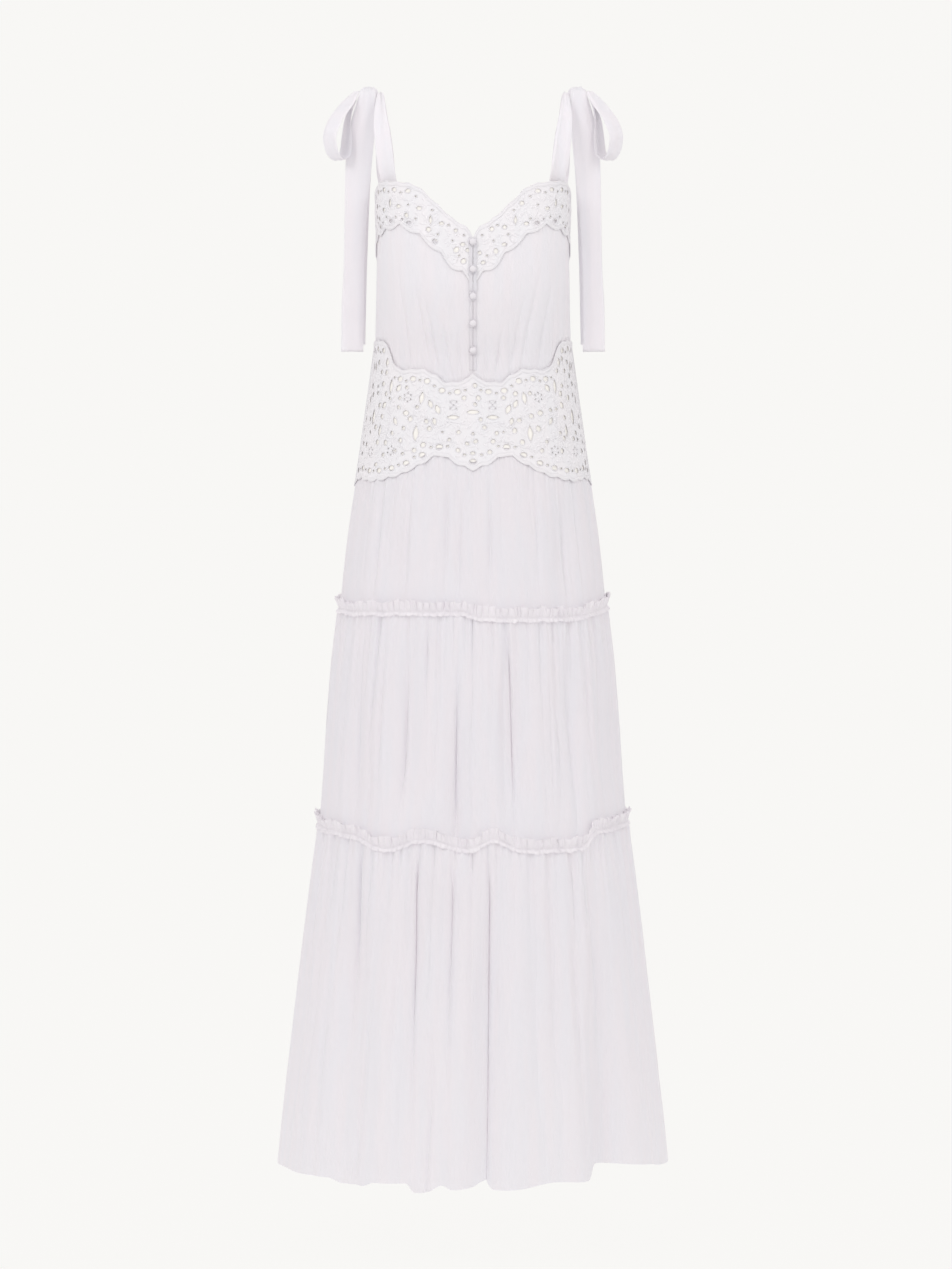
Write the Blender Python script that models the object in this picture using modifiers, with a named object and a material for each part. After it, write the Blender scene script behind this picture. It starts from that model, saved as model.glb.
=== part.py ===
"""A sleeveless tiered maxi dress, filled out as it is worn, with no wearer.

Metres, +Z up. The front faces -Y and the wearer's left is +X. The origin is where the shoulders hold the
straps. Every body panel lies on one surface, surface_point(angle, z), which has the garment's girth at each
height and its largest folds. Angles run round the body in degrees: 0 at the centre front, 90 at the
wearer's left side, 180 at the centre back and -90 at the wearer's right side.
"""

import collections
import math

import bmesh
import bpy
from mathutils import Vector

# ---------------------------------------------------------------- driving dimensions
CLOTH = 0.0012
LACE = 0.0010
LINING = 0.0010
GAP = 0.0006
SEAM_GAP = 0.0003
LACE_LIFT = GAP + LACE
FRILL_LIFT = 3 * GAP + CLOTH
COLUMN = 6.0
LACE_COLUMN = COLUMN / 2
NECK_ROWS = 2
BODICE_ROWS = 4
YOKE_ROWS = 4
TIER_ROWS = 3
PLACKET_ROWS = 12
BALL_SEGMENTS = 10
BALL_RINGS = 6
SHARPEST_SMOOTHED = 50.0
OVERLAP = 0.008
TUCK = 0.0012
LOWEST = -1.446
FRILL_ABOVE = 0.013
FRILL_BELOW = 0.004
FRILL_FLARE = 0.0035
FRILL_RUFFLE = 0.0016
SCALLOP_PITCH = 12.0
SCALLOP_DROP = 0.006
PLACKET_WIDTH = 0.005
PLACKET_TOP = -0.1920
PLACKET_BOTTOM = -0.3660
PLACKET_STEP_ABOVE = 0.012
PLACKET_STEP_LENGTH = 0.010
BUTTON_RADIUS = 0.0047
BUTTON_DEPTH = 0.0036
BUTTON_TOP = -0.1970
BUTTON_SPACING = 0.0358
BUTTONS = 5
KNOT_CENTRE = (0.1395, 0.0, 0.0040)
KNOT_RADIUS = 0.0085
KNOT_HALF_WIDTH = 0.0125
STRAP_ANGLE = 54.0
STRAP_INSET = 0.0102
STRAP_WIDTH = 0.032
STRAP_CROWN = 0.0050

# Girth at each height: half the width, how far the front and back stand from the side line, and how square
# the section is (2 is an ellipse).
Section = collections.namedtuple("Section", "z half_width front back power")
SECTIONS = (
    Section(-0.100, 0.1285, 0.092, 0.084, 3.2),
    Section(-0.150, 0.1295, 0.103, 0.092, 3.1),
    Section(-0.190, 0.1285, 0.111, 0.096, 2.9),
    Section(-0.250, 0.1295, 0.116, 0.098, 2.6),
    Section(-0.310, 0.1305, 0.107, 0.094, 2.4),
    Section(-0.350, 0.1320, 0.099, 0.092, 2.3),
    Section(-0.395, 0.1380, 0.102, 0.098, 2.3),
    Section(-0.455, 0.1475, 0.112, 0.112, 2.2),
    Section(-0.515, 0.1570, 0.124, 0.126, 2.2),
    Section(-0.595, 0.1690, 0.138, 0.141, 2.2),
    Section(-0.680, 0.1790, 0.149, 0.152, 2.2),
    Section(-0.760, 0.1900, 0.160, 0.164, 2.2),
    Section(-0.840, 0.1970, 0.170, 0.174, 2.2),
    Section(-0.920, 0.2025, 0.179, 0.182, 2.2),
    Section(-0.985, 0.2090, 0.187, 0.190, 2.2),
    Section(-1.040, 0.2170, 0.195, 0.198, 2.2),
    Section(-1.160, 0.2330, 0.209, 0.213, 2.2),
    Section(-1.300, 0.2500, 0.222, 0.227, 2.2),
    Section(-1.450, 0.2670, 0.232, 0.238, 2.2),
)

# The largest folds: where each runs at its top and bottom, how wide it is, and how far it sinks in (a ridge
# is negative). It grows from z_top to z_deep and fades out again at z_end.
Fold = collections.namedtuple("Fold", "angle_top angle_end width depth z_top z_deep z_end")
FOLDS = (
    # bodice, gathers that fan up from the yoke
    Fold(-30, -20, 6, 0.0030, -0.255, -0.340, -0.390),
    Fold(28, 19, 6, 0.0030, -0.255, -0.335, -0.390),
    Fold(-150, -158, 7, 0.0025, -0.265, -0.340, -0.390),
    Fold(146, 155, 7, 0.0025, -0.265, -0.340, -0.390),
    # tier 1
    Fold(-10, -9, 7, 0.0060, -0.500, -0.620, -0.720),
    Fold(8, 7, 6, 0.0050, -0.505, -0.640, -0.730),
    Fold(46, 43, 7, 0.0060, -0.515, -0.600, -0.730),
    Fold(-38, -36, 7, 0.0040, -0.515, -0.610, -0.730),
    Fold(-165, -163, 8, 0.0060, -0.515, -0.620, -0.730),
    Fold(150, 152, 8, 0.0060, -0.515, -0.630, -0.730),
    Fold(-128, -126, 8, 0.0050, -0.515, -0.620, -0.730),
    Fold(118, 117, 7, 0.0040, -0.515, -0.600, -0.730),
    # tier 2
    Fold(-25, -24, 6, 0.0080, -0.690, -0.860, -1.040),
    Fold(-50, -48, 7, 0.0060, -0.690, -0.900, -1.030),
    Fold(-6, -6, 5, 0.0110, -0.720, -0.950, -1.060),
    Fold(14, 15, 5, 0.0120, -0.690, -0.850, -1.030),
    Fold(38, 41, 8, 0.0080, -0.690, -0.840, -1.010),
    Fold(60, 64, 8, 0.0060, -0.700, -0.880, -1.040),
    Fold(-155, -157, 7, 0.0120, -0.690, -0.900, -1.040),
    Fold(-122, -120, 8, 0.0080, -0.690, -0.860, -1.040),
    Fold(172, 173, 6, 0.0110, -0.700, -0.880, -1.040),
    Fold(140, 137, 8, 0.0120, -0.690, -0.880, -1.040),
    Fold(112, 110, 7, 0.0070, -0.690, -0.870, -1.040),
    # tier 3
    Fold(-44, -39, 8, 0.0140, -0.985, -1.180, -2.200),
    Fold(-19, -19, 5, 0.0130, -0.980, -1.150, -2.600),
    Fold(-8, -11, 5, 0.0130, -0.985, -1.100, -2.200),
    Fold(5, 3, 5, 0.0190, -0.985, -1.200, -2.600),
    Fold(24, 26, 9, 0.0090, -1.000, -1.300, -2.600),
    Fold(44, 43, 7, 0.0380, -1.000, -1.560, -2.600),
    Fold(-70, -72, 8, 0.0060, -1.000, -1.300, -2.600),
    Fold(72, 76, 9, 0.0080, -1.000, -1.400, -2.600),
    Fold(-104, -106, 8, 0.0110, -0.990, -1.200, -2.400),
    Fold(-135, -138, 8, 0.0180, -0.985, -1.220, -2.400),
    Fold(-163, -161, 7, 0.0200, -0.985, -1.220, -2.400),
    Fold(176, 174, 7, 0.0170, -0.985, -1.180, -2.400),
    Fold(152, 150, 7, 0.0200, -0.990, -1.250, -2.400),
    Fold(122, 124, 9, 0.0170, -0.990, -1.240, -2.400),
)

# Edges that run round the body, each row an angle and a height.
Edge = collections.namedtuple("Edge", "angle z")
NECK_UPPER_FRONT = (
    Edge(0, -0.1905),
    Edge(4, -0.1770),
    Edge(11, -0.1670),
    Edge(19, -0.1500),
    Edge(25, -0.1360),
    Edge(31, -0.1230),
    Edge(37, -0.1180),
    Edge(44, -0.1160),
    Edge(58, -0.1150),
    Edge(68, -0.1230),
    Edge(78, -0.1290),
    Edge(90, -0.1340),
)
NECK_UPPER_BACK = (
    Edge(90, -0.1340),
    Edge(104, -0.1420),
    Edge(112, -0.1390),
    Edge(136, -0.1400),
    Edge(148, -0.1600),
    Edge(162, -0.1820),
    Edge(180, -0.1930),
)
NECK_LOWER_FRONT = (
    Edge(0, -0.2490),
    Edge(4, -0.2380),
    Edge(13, -0.2240),
    Edge(20, -0.2060),
    Edge(28, -0.1900),
    Edge(34, -0.1790),
    Edge(43, -0.1720),
    Edge(53, -0.1770),
    Edge(70, -0.1880),
    Edge(90, -0.2050),
)
NECK_LOWER_BACK = (
    Edge(90, -0.2050),
    Edge(115, -0.2200),
    Edge(145, -0.2420),
    Edge(180, -0.2560),
)
YOKE_UPPER = (
    Edge(0, -0.3690),
    Edge(5, -0.3790),
    Edge(14, -0.3820),
    Edge(22, -0.3710),
    Edge(30, -0.3640),
    Edge(42, -0.3650),
    Edge(49, -0.3560),
    Edge(57, -0.3300),
    Edge(66, -0.3260),
    Edge(90, -0.3300),
)
YOKE_LOWER = (
    Edge(0, -0.4960),
    Edge(6, -0.4900),
    Edge(17, -0.4770),
    Edge(27, -0.4900),
    Edge(40, -0.5050),
    Edge(58, -0.5120),
    Edge(68, -0.5090),
    Edge(90, -0.5200),
)
SEAM_1 = (
    Edge(-180, -0.690),
    Edge(-120, -0.684),
    Edge(-60, -0.687),
    Edge(-5, -0.684),
    Edge(3, -0.692),
    Edge(35, -0.693),
    Edge(90, -0.682),
    Edge(140, -0.692),
    Edge(180, -0.690),
)
SEAM_2 = (
    Edge(-180, -0.985),
    Edge(-150, -0.994),
    Edge(-120, -0.982),
    Edge(-90, -0.977),
    Edge(-48, -0.981),
    Edge(-32, -0.996),
    Edge(-18, -0.982),
    Edge(-2, -0.994),
    Edge(8, -0.982),
    Edge(18, -0.996),
    Edge(40, -0.996),
    Edge(50, -0.976),
    Edge(90, -0.972),
    Edge(125, -0.992),
    Edge(150, -0.980),
    Edge(180, -0.985),
)
HEM_LINE = (
    Edge(-180, -1.440),
    Edge(-158, -1.432),
    Edge(-140, -1.441),
    Edge(-118, -1.434),
    Edge(-90, -1.439),
    Edge(-76, -1.437),
    Edge(-46, -1.434),
    Edge(-41, -1.440),
    Edge(-33, -1.440),
    Edge(-29, -1.434),
    Edge(-20, -1.434),
    Edge(-17, -1.446),
    Edge(-13, -1.444),
    Edge(-9, -1.435),
    Edge(-6, -1.440),
    Edge(0, -1.437),
    Edge(3, -1.429),
    Edge(6, -1.441),
    Edge(12, -1.440),
    Edge(24, -1.433),
    Edge(36, -1.436),
    Edge(42, -1.417),
    Edge(60, -1.424),
    Edge(78, -1.436),
    Edge(90, -1.439),
    Edge(120, -1.433),
    Edge(142, -1.441),
    Edge(160, -1.433),
    Edge(180, -1.440),
)

# Bands of cloth that hang or stand free, each row a point of the centre line, the width there, which way the
# width runs (degrees from +X towards +Y) and how far the middle stands out. These are the wearer's left
# side's; the right side mirrors them.
Band = collections.namedtuple("Band", "x y z width facing crown")
STRAP_FRONT_REST = (
    Band(0.1155, -0.0570, -0.095, 0.027, 38, 0.0020),
    Band(0.1205, -0.0470, -0.058, 0.023, 24, 0.0015),
    Band(0.1240, -0.0310, -0.022, 0.016, 10, 0.0010),
    Band(0.1236, -0.0130, 0.0005, 0.009, 0, 0.0005),
    Band(0.1250, -0.0088, 0.0045, 0.007, 0, 0.0005),
)
STRAP_BACK_REST = (
    Band(0.1180, 0.0520, -0.098, 0.029, -34, -0.0020),
    Band(0.1205, 0.0440, -0.058, 0.023, -24, -0.0015),
    Band(0.1240, 0.0300, -0.022, 0.016, -10, -0.0010),
    Band(0.1236, 0.0130, 0.0005, 0.009, 0, -0.0005),
    Band(0.1250, 0.0088, 0.0045, 0.007, 0, -0.0005),
)
LOOP = (
    Band(0.1560, -0.0023, 0.0060, 0.012, 50, 0.0005),
    Band(0.1635, -0.0086, -0.0035, 0.024, 50, 0.0010),
    Band(0.1730, -0.0166, -0.0165, 0.032, 50, 0.0010),
    Band(0.1850, -0.0267, -0.0350, 0.032, 50, 0.0015),
    Band(0.1915, -0.0321, -0.0560, 0.029, 50, 0.0015),
    Band(0.1885, -0.0296, -0.0745, 0.028, 50, 0.0010),
    Band(0.1800, -0.0225, -0.0850, 0.026, 50, 0.0010),
    Band(0.1715, -0.0153, -0.0780, 0.025, 50, 0.0010),
    Band(0.1690, -0.0132, -0.0580, 0.023, 50, 0.0010),
    Band(0.1680, -0.0124, -0.0370, 0.017, 50, 0.0010),
    Band(0.1645, -0.0095, -0.0190, 0.011, 50, 0.0010),
    Band(0.1590, -0.0048, -0.0045, 0.008, 50, 0.0005),
)
TAIL_FRONT = (
    Band(0.1405, -0.0105, 0.0050, 0.021, 0, 0.0015),
    Band(0.1420, -0.0120, -0.0060, 0.025, 0, 0.0025),
    Band(0.1465, -0.0120, -0.0330, 0.032, 2, 0.0035),
    Band(0.1505, -0.0110, -0.0600, 0.036, 4, 0.0030),
    Band(0.1535, -0.0100, -0.0950, 0.035, 5, 0.0030),
    Band(0.1575, -0.0080, -0.1600, 0.030, 8, 0.0030),
    Band(0.1600, -0.0060, -0.2300, 0.028, 10, 0.0030),
    Band(0.1620, -0.0050, -0.2900, 0.030, 8, 0.0025),
    Band(0.1625, -0.0050, -0.3420, 0.030, 6, 0.0020),
)
TAIL_BACK = (
    Band(0.1400, 0.0120, -0.0050, 0.014, 0, -0.0010),
    Band(0.1435, 0.0160, -0.0300, 0.022, -5, -0.0015),
    Band(0.1485, 0.0190, -0.0580, 0.027, -5, -0.0020),
    Band(0.1515, 0.0220, -0.0950, 0.029, -5, -0.0025),
    Band(0.1545, 0.0240, -0.1600, 0.028, -8, -0.0030),
    Band(0.1570, 0.0250, -0.2300, 0.028, -8, -0.0030),
    Band(0.1590, 0.0250, -0.2900, 0.029, -6, -0.0025),
    Band(0.1600, 0.0250, -0.3320, 0.029, -4, -0.0020),
)
BAND_ACROSS = 2
BAND_STEPS = 2

# Colour, roughness and metallic value of each material.
Finish = collections.namedtuple("Finish", "color roughness metallic")
VOILE = Finish((0.835, 0.815, 0.830, 1.0), 0.85, 0.0)
BRODERIE = Finish((0.850, 0.835, 0.845, 1.0), 0.80, 0.0)
LINING_CLOTH = Finish((0.820, 0.785, 0.750, 1.0), 0.85, 0.0)
COVERED_BUTTON = Finish((0.800, 0.780, 0.800, 1.0), 0.75, 0.0)


# ---------------------------------------------------------------- the body's surface
def smooth_step(t):
    t = min(max(t, 0.0), 1.0)
    return t * t * (3.0 - 2.0 * t)


def curve_through(xs, ys, x):
    """A smooth curve through the rows of a table, level beyond its ends, with xs rising."""
    if x <= xs[0]:
        return ys[0]
    if x >= xs[-1]:
        return ys[-1]
    i = max(k for k in range(len(xs) - 1) if xs[k] <= x)
    slopes = [(ys[k + 1] - ys[k]) / (xs[k + 1] - xs[k]) for k in range(len(xs) - 1)]

    def tangent(k):
        if k == 0:
            return slopes[0]
        if k == len(xs) - 1:
            return slopes[-1]
        before, after = slopes[k - 1], slopes[k]
        return 0.0 if before * after <= 0 else 2.0 * before * after / (before + after)

    width = xs[i + 1] - xs[i]
    t = (x - xs[i]) / width
    rise = ys[i + 1] - ys[i]
    start, end = tangent(i) * width, tangent(i + 1) * width
    return ys[i] + t * (start + t * (3 * rise - 2 * start - end + t * (start + end - 2 * rise)))


def section_value(name, z):
    rows = SECTIONS[::-1]
    return curve_through([row.z for row in rows], [getattr(row, name) for row in rows], z)


def edge_height(table, angle):
    return curve_through([row.angle for row in table], [row.z for row in table], angle)


def turn_between(a, b):
    """The angle from b to a, from -180 to 180 degrees."""
    return (a - b + 180.0) % 360.0 - 180.0


def fold_depth(angle, z):
    total = 0.0
    for fold in FOLDS:
        if not fold.z_end < z < fold.z_top:
            continue
        if z > fold.z_deep:
            strength = smooth_step((fold.z_top - z) / (fold.z_top - fold.z_deep))
        else:
            strength = smooth_step((z - fold.z_end) / (fold.z_deep - fold.z_end))
        along = (fold.z_top - z) / (fold.z_top - max(fold.z_end, LOWEST))
        middle = fold.angle_top + (fold.angle_end - fold.angle_top) * along
        offset = turn_between(angle, middle) / fold.width
        total += fold.depth * strength * math.exp(-offset * offset)
    return total


def surface_point(angle, z, lift=0.0):
    """The body's outer surface at an angle and a height, moved out by lift."""
    side, ahead = math.sin(math.radians(angle)), math.cos(math.radians(angle))
    half_width = section_value("half_width", z)
    depth = section_value("front" if ahead >= 0 else "back", z)
    power = section_value("power", z)
    reach = (abs(side) ** power + abs(ahead) ** power) ** (-1.0 / power)
    x, y = side * reach, -ahead * reach
    outward = Vector(
        (
            math.copysign(abs(x) ** (power - 1.0), x) / half_width,
            math.copysign(abs(y) ** (power - 1.0), y) / depth,
            0.0,
        )
    ).normalized()
    return Vector((x * half_width, y * depth, z)) + outward * (lift - fold_depth(angle, z))


# ---------------------------------------------------------------- edges
def neck_upper(angle):
    turn = abs(turn_between(angle, 0.0))
    return edge_height(NECK_UPPER_FRONT if turn <= 90 else NECK_UPPER_BACK, turn)


def neck_lower(angle):
    turn = abs(turn_between(angle, 0.0))
    return edge_height(NECK_LOWER_FRONT if turn <= 90 else NECK_LOWER_BACK, turn)


def neck_scalloped(angle):
    """The lace's lower edge, with a lobe at every pitch from the centre front."""
    return neck_lower(angle) - SCALLOP_DROP * abs(math.cos(math.pi * angle / SCALLOP_PITCH))


def yoke_upper(angle):
    turn = abs(turn_between(angle, 0.0))
    return edge_height(YOKE_UPPER, min(turn, 180.0 - turn))


def yoke_lower(angle):
    turn = abs(turn_between(angle, 0.0))
    return edge_height(YOKE_LOWER, min(turn, 180.0 - turn))


def seam_1(angle):
    return edge_height(SEAM_1, turn_between(angle, 0.0))


def seam_2(angle):
    return edge_height(SEAM_2, turn_between(angle, 0.0))


def hem(angle):
    return edge_height(HEM_LINE, turn_between(angle, 0.0))


def moved(edge, distance):
    """The same edge, higher by distance."""
    return lambda angle: edge(angle) + distance


# ---------------------------------------------------------------- making objects
def clear_scene():
    for obj in list(bpy.data.objects):
        bpy.data.objects.remove(obj)


def new_material(name, finish):
    material = bpy.data.materials.new(name)
    material.use_nodes = True
    shader = material.node_tree.nodes["Principled BSDF"]
    shader.inputs["Base Color"].default_value = finish.color
    shader.inputs["Roughness"].default_value = finish.roughness
    shader.inputs["Metallic"].default_value = finish.metallic
    return material


def add_object(name, mesh, finish, collection):
    mesh.materials.append(new_material(name + "_material", finish))
    mesh.shade_smooth()
    mesh.set_sharp_from_angle(angle=math.radians(SHARPEST_SMOOTHED))
    obj = bpy.data.objects.new(name, mesh)
    collection.objects.link(obj)
    return obj


def grid_mesh(name, columns):
    """An open sheet through columns of points, each column listed from the top down."""
    bm = bmesh.new()
    made = [[bm.verts.new(point) for point in column] for column in columns]
    for here, following in zip(made, made[1:]):
        for row in range(len(here) - 1):
            bm.faces.new((here[row], here[row + 1], following[row + 1], following[row]))
    mesh = bpy.data.meshes.new(name)
    bm.to_mesh(mesh)
    bm.free()
    return mesh


def add_wall(name, columns, thickness, finish, collection, offset=-1.0):
    """A wall of cloth whose outer side runs through the columns, thickened inwards."""
    obj = add_object(name, grid_mesh(name, columns), finish, collection)
    wall = obj.modifiers.new("Wall", "SOLIDIFY")
    wall.thickness = thickness
    wall.offset = offset
    wall.use_even_offset = True
    return obj


def add_ball(name, place, halves, finish, collection):
    """A ball squashed to its three half sizes."""
    mesh = bpy.data.meshes.new(name)
    bm = bmesh.new()
    bmesh.ops.create_uvsphere(bm, u_segments=BALL_SEGMENTS, v_segments=BALL_RINGS, radius=1.0)
    for vertex in bm.verts:
        vertex.co = [half * value for half, value in zip(halves, vertex.co)]
    bm.to_mesh(mesh)
    bm.free()
    ball = add_object(name, mesh, finish, collection)
    ball.location = place


def angles_between(first, last, step):
    """Evenly spaced angles, the two ends drawn in by half a seam gap."""
    count = round((last - first) / step)
    ends_in = math.degrees(SEAM_GAP / 2 / SECTIONS[0].front)
    width = last - first - 2 * ends_in
    return [first + ends_in + width * i / count for i in range(count + 1)]


def panel_columns(angles, top, bottom, rows, lift):
    """Columns of a panel between two edges. lift is a distance, or a function of the share down the panel."""
    columns = []
    for angle in angles:
        high, low = top(angle), bottom(angle)
        column = []
        for row in range(rows + 1):
            share = row / rows
            out = lift(angle, share) if callable(lift) else lift
            column.append(surface_point(angle, high + (low - high) * share, out))
        columns.append(column)
    return columns


def tucked_ends(_angle, share):
    """Further in at the two edges, where lace lies over the cloth."""
    return -TUCK if share in (0, 1) else 0.0


def tucked_top(_angle, share):
    return -TUCK if share == 0 else 0.0


def add_neck_lace(collection):
    sides = (
        ("neck_lace_front_right", -90.0, 0.0),
        ("neck_lace_front_left", 0.0, 90.0),
        ("neck_lace_back", 90.0, 270.0),
    )
    for name, first, last in sides:
        angles = angles_between(first, last, LACE_COLUMN)
        columns = panel_columns(angles, neck_upper, neck_scalloped, NECK_ROWS, LACE_LIFT)
        add_wall(name, columns, LACE, BRODERIE, collection)


def add_linings(collection):
    """The plain lining that shows through the eyelets, between the cloth sewn to its edges."""
    above_bodice = moved(neck_lower, OVERLAP + SEAM_GAP)
    below_bodice = moved(yoke_upper, -OVERLAP - SEAM_GAP)
    above_tier = moved(yoke_lower, OVERLAP + SEAM_GAP)
    linings = (
        ("neck_lining_front_right", -90.0, 0.0, moved(neck_upper, -GAP), above_bodice, NECK_ROWS),
        ("neck_lining_front_left", 0.0, 90.0, moved(neck_upper, -GAP), above_bodice, NECK_ROWS),
        ("neck_lining_back", 90.0, 270.0, moved(neck_upper, -GAP), above_bodice, NECK_ROWS),
        ("yoke_lining_front", -90.0, 90.0, below_bodice, above_tier, YOKE_ROWS),
        ("yoke_lining_back", 90.0, 270.0, below_bodice, above_tier, YOKE_ROWS),
    )
    for name, first, last, top, bottom, rows in linings:
        angles = angles_between(first, last, COLUMN)
        columns = panel_columns(angles, top, bottom, rows, -TUCK)
        add_wall(name, columns, LINING, LINING_CLOTH, collection)


def add_bodice(collection):
    panels = (
        ("bodice_front_right", -90.0, 0.0),
        ("bodice_front_left", 0.0, 90.0),
        ("bodice_back", 90.0, 270.0),
    )
    top, bottom = moved(neck_lower, OVERLAP), moved(yoke_upper, -OVERLAP)
    for name, first, last in panels:
        angles = angles_between(first, last, COLUMN)
        columns = panel_columns(angles, top, bottom, BODICE_ROWS, tucked_ends)
        add_wall(name, columns, CLOTH, VOILE, collection)


def placket_point(side, share, out_edge):
    """A point of a button stand, which steps down from the lace to the cloth below it."""
    z = PLACKET_TOP + (PLACKET_BOTTOM - PLACKET_TOP) * share
    above_lobe = z - neck_scalloped(0.0)
    on_lace = smooth_step((above_lobe + PLACKET_STEP_ABOVE) / PLACKET_STEP_LENGTH)
    lift = 2 * GAP + CLOTH + on_lace * LACE_LIFT
    across = SEAM_GAP / 2 + (PLACKET_WIDTH if out_edge else 0.0)
    angle = math.degrees(across / section_value("half_width", z)) * side
    point = surface_point(angle, z, lift)
    point.x = across * side
    return point


def add_plackets(collection):
    shares = [row / PLACKET_ROWS for row in range(PLACKET_ROWS + 1)]
    for name, side in (("placket_left", 1.0), ("placket_right", -1.0)):
        edges = (False, True) if side > 0 else (True, False)
        columns = [[placket_point(side, share, edge) for share in shares] for edge in edges]
        add_wall(name, columns, CLOTH, VOILE, collection)


def add_buttons(collection):
    for number in range(BUTTONS):
        z = BUTTON_TOP - BUTTON_SPACING * number
        front = placket_point(1.0, (z - PLACKET_TOP) / (PLACKET_BOTTOM - PLACKET_TOP), False)
        place = (0.0, front.y - BUTTON_DEPTH - SEAM_GAP, z)
        halves = (BUTTON_RADIUS, BUTTON_DEPTH, BUTTON_RADIUS)
        add_ball(f"button_{number + 1}", place, halves, COVERED_BUTTON, collection)


def add_yoke(collection):
    for name, first in (("yoke_lace_front", -90.0), ("yoke_lace_back", 90.0)):
        angles = angles_between(first, first + 180.0, COLUMN)
        columns = panel_columns(angles, yoke_upper, yoke_lower, YOKE_ROWS, LACE_LIFT)
        add_wall(name, columns, LACE, BRODERIE, collection)


def add_tiers(collection):
    tiers = (
        ("tier_1", moved(yoke_lower, OVERLAP), moved(seam_1, SEAM_GAP / 2), tucked_top),
        ("tier_2", moved(seam_1, -SEAM_GAP / 2), moved(seam_2, SEAM_GAP / 2), 0.0),
        ("tier_3", moved(seam_2, -SEAM_GAP / 2), hem, 0.0),
    )
    for name, top, bottom, lift in tiers:
        for face, first in (("front", -90.0), ("back", 90.0)):
            angles = angles_between(first, first + 180.0, COLUMN)
            columns = panel_columns(angles, top, bottom, TIER_ROWS, lift)
            add_wall(f"{name}_{face}", columns, CLOTH, VOILE, collection)


def frill_lift(angle, share):
    """Close to the cloth at the stitch line, and standing out in small ruffles at the raw edges."""
    stitched = FRILL_ABOVE / (FRILL_ABOVE + FRILL_BELOW)
    away = (stitched - share) / stitched if share < stitched else 0.0
    ruffle = FRILL_RUFFLE * math.cos(math.pi * angle / LACE_COLUMN)
    return FRILL_LIFT + away * (FRILL_FLARE + ruffle)


def add_frills(collection):
    for number, seam in ((1, seam_1), (2, seam_2)):
        for face, first in (("front", -90.0), ("back", 90.0)):
            angles = angles_between(first, first + 180.0, LACE_COLUMN)
            top, bottom = moved(seam, FRILL_ABOVE), moved(seam, -FRILL_BELOW)
            columns = panel_columns(angles, top, bottom, 1, frill_lift)
            add_wall(f"frill_{number}_{face}", columns, CLOTH, VOILE, collection)


# ---------------------------------------------------------------- straps and bows
def band_columns(rows, side):
    """Columns across a band, on a smooth line through its rows, mirrored when side is -1."""
    stations = []
    count = (len(rows) - 1) * BAND_STEPS
    places = list(range(len(rows)))
    for step in range(count + 1):
        at = step / BAND_STEPS
        stations.append(Band(*(curve_through(places, [row[k] for row in rows], at) for k in range(6))))
    lines = []
    for i, here in enumerate(stations):
        before, after = stations[max(i - 1, 0)], stations[min(i + 1, count)]
        along = Vector(after[:3]) - Vector(before[:3])
        facing = math.radians(here.facing)
        across = Vector((math.cos(facing), math.sin(facing), 0.0))
        across = (across - along * (across.dot(along) / along.length_squared)).normalized()
        out = along.cross(across).normalized()
        line = []
        for j in range(BAND_ACROSS + 1):
            share = 2.0 * j / BAND_ACROSS - 1.0
            bulge = here.crown * (1.0 - share * share)
            point = Vector(here[:3]) + across * (share * here.width / 2) + out * bulge
            line.append(Vector((point.x * side, point.y, point.z)))
        lines.append(line)
    return [[line[j] for line in lines] for j in range(BAND_ACROSS + 1)]


def strap_base(back):
    """Where a strap is sewn behind the lace, on the body's surface and just inside it."""
    angle = 180.0 - STRAP_ANGLE if back else STRAP_ANGLE
    z = neck_upper(angle) - 2 * OVERLAP
    place = surface_point(angle, z, -STRAP_INSET)
    along = surface_point(STRAP_ANGLE + COLUMN, z) - surface_point(STRAP_ANGLE - COLUMN, z)
    turned = math.degrees(math.atan2(along.y, along.x))
    mirrored = -1 if back else 1
    return Band(place.x, place.y, place.z, STRAP_WIDTH, turned * mirrored, STRAP_CROWN * mirrored)


def add_straps_and_bows(collection):
    bands = (
        ("strap_front", (strap_base(False),) + STRAP_FRONT_REST),
        ("strap_back", (strap_base(True),) + STRAP_BACK_REST),
        ("loop", LOOP),
        ("tail_front", TAIL_FRONT),
        ("tail_back", TAIL_BACK),
    )
    for word, side in (("left", 1.0), ("right", -1.0)):
        for name, rows in bands:
            columns = band_columns(rows, side)
            if side < 0:
                columns.reverse()
            add_wall(f"{name}_{word}", columns, CLOTH, VOILE, collection, offset=0.0)
        place = (KNOT_CENTRE[0] * side, KNOT_CENTRE[1], KNOT_CENTRE[2])
        halves = (KNOT_HALF_WIDTH, KNOT_RADIUS, KNOT_RADIUS)
        add_ball(f"knot_{word}", place, halves, VOILE, collection)


def main():
    clear_scene()
    dress = bpy.data.collections.new("maxi_dress")
    bpy.context.scene.collection.children.link(dress)
    add_neck_lace(dress)
    add_linings(dress)
    add_bodice(dress)
    add_plackets(dress)
    add_buttons(dress)
    add_yoke(dress)
    add_tiers(dress)
    add_frills(dress)
    add_straps_and_bows(dress)


main()
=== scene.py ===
"""The looks of the maxi dress: white crinkled voile, broderie lace, covered buttons and shoulder bows.

Metres, +Z up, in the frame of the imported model. The front faces -Y and the wearer's left is +X. Every body
panel lies on one surface, body_points(angle, z), the same as the solids': angles run round the body in
degrees, 0 at the centre front, 90 at the wearer's left side. Gathers, creases and lace are made on it.
"""

import collections
import math

import bmesh
import bpy
import numpy as np
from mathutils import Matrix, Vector, geometry


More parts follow.
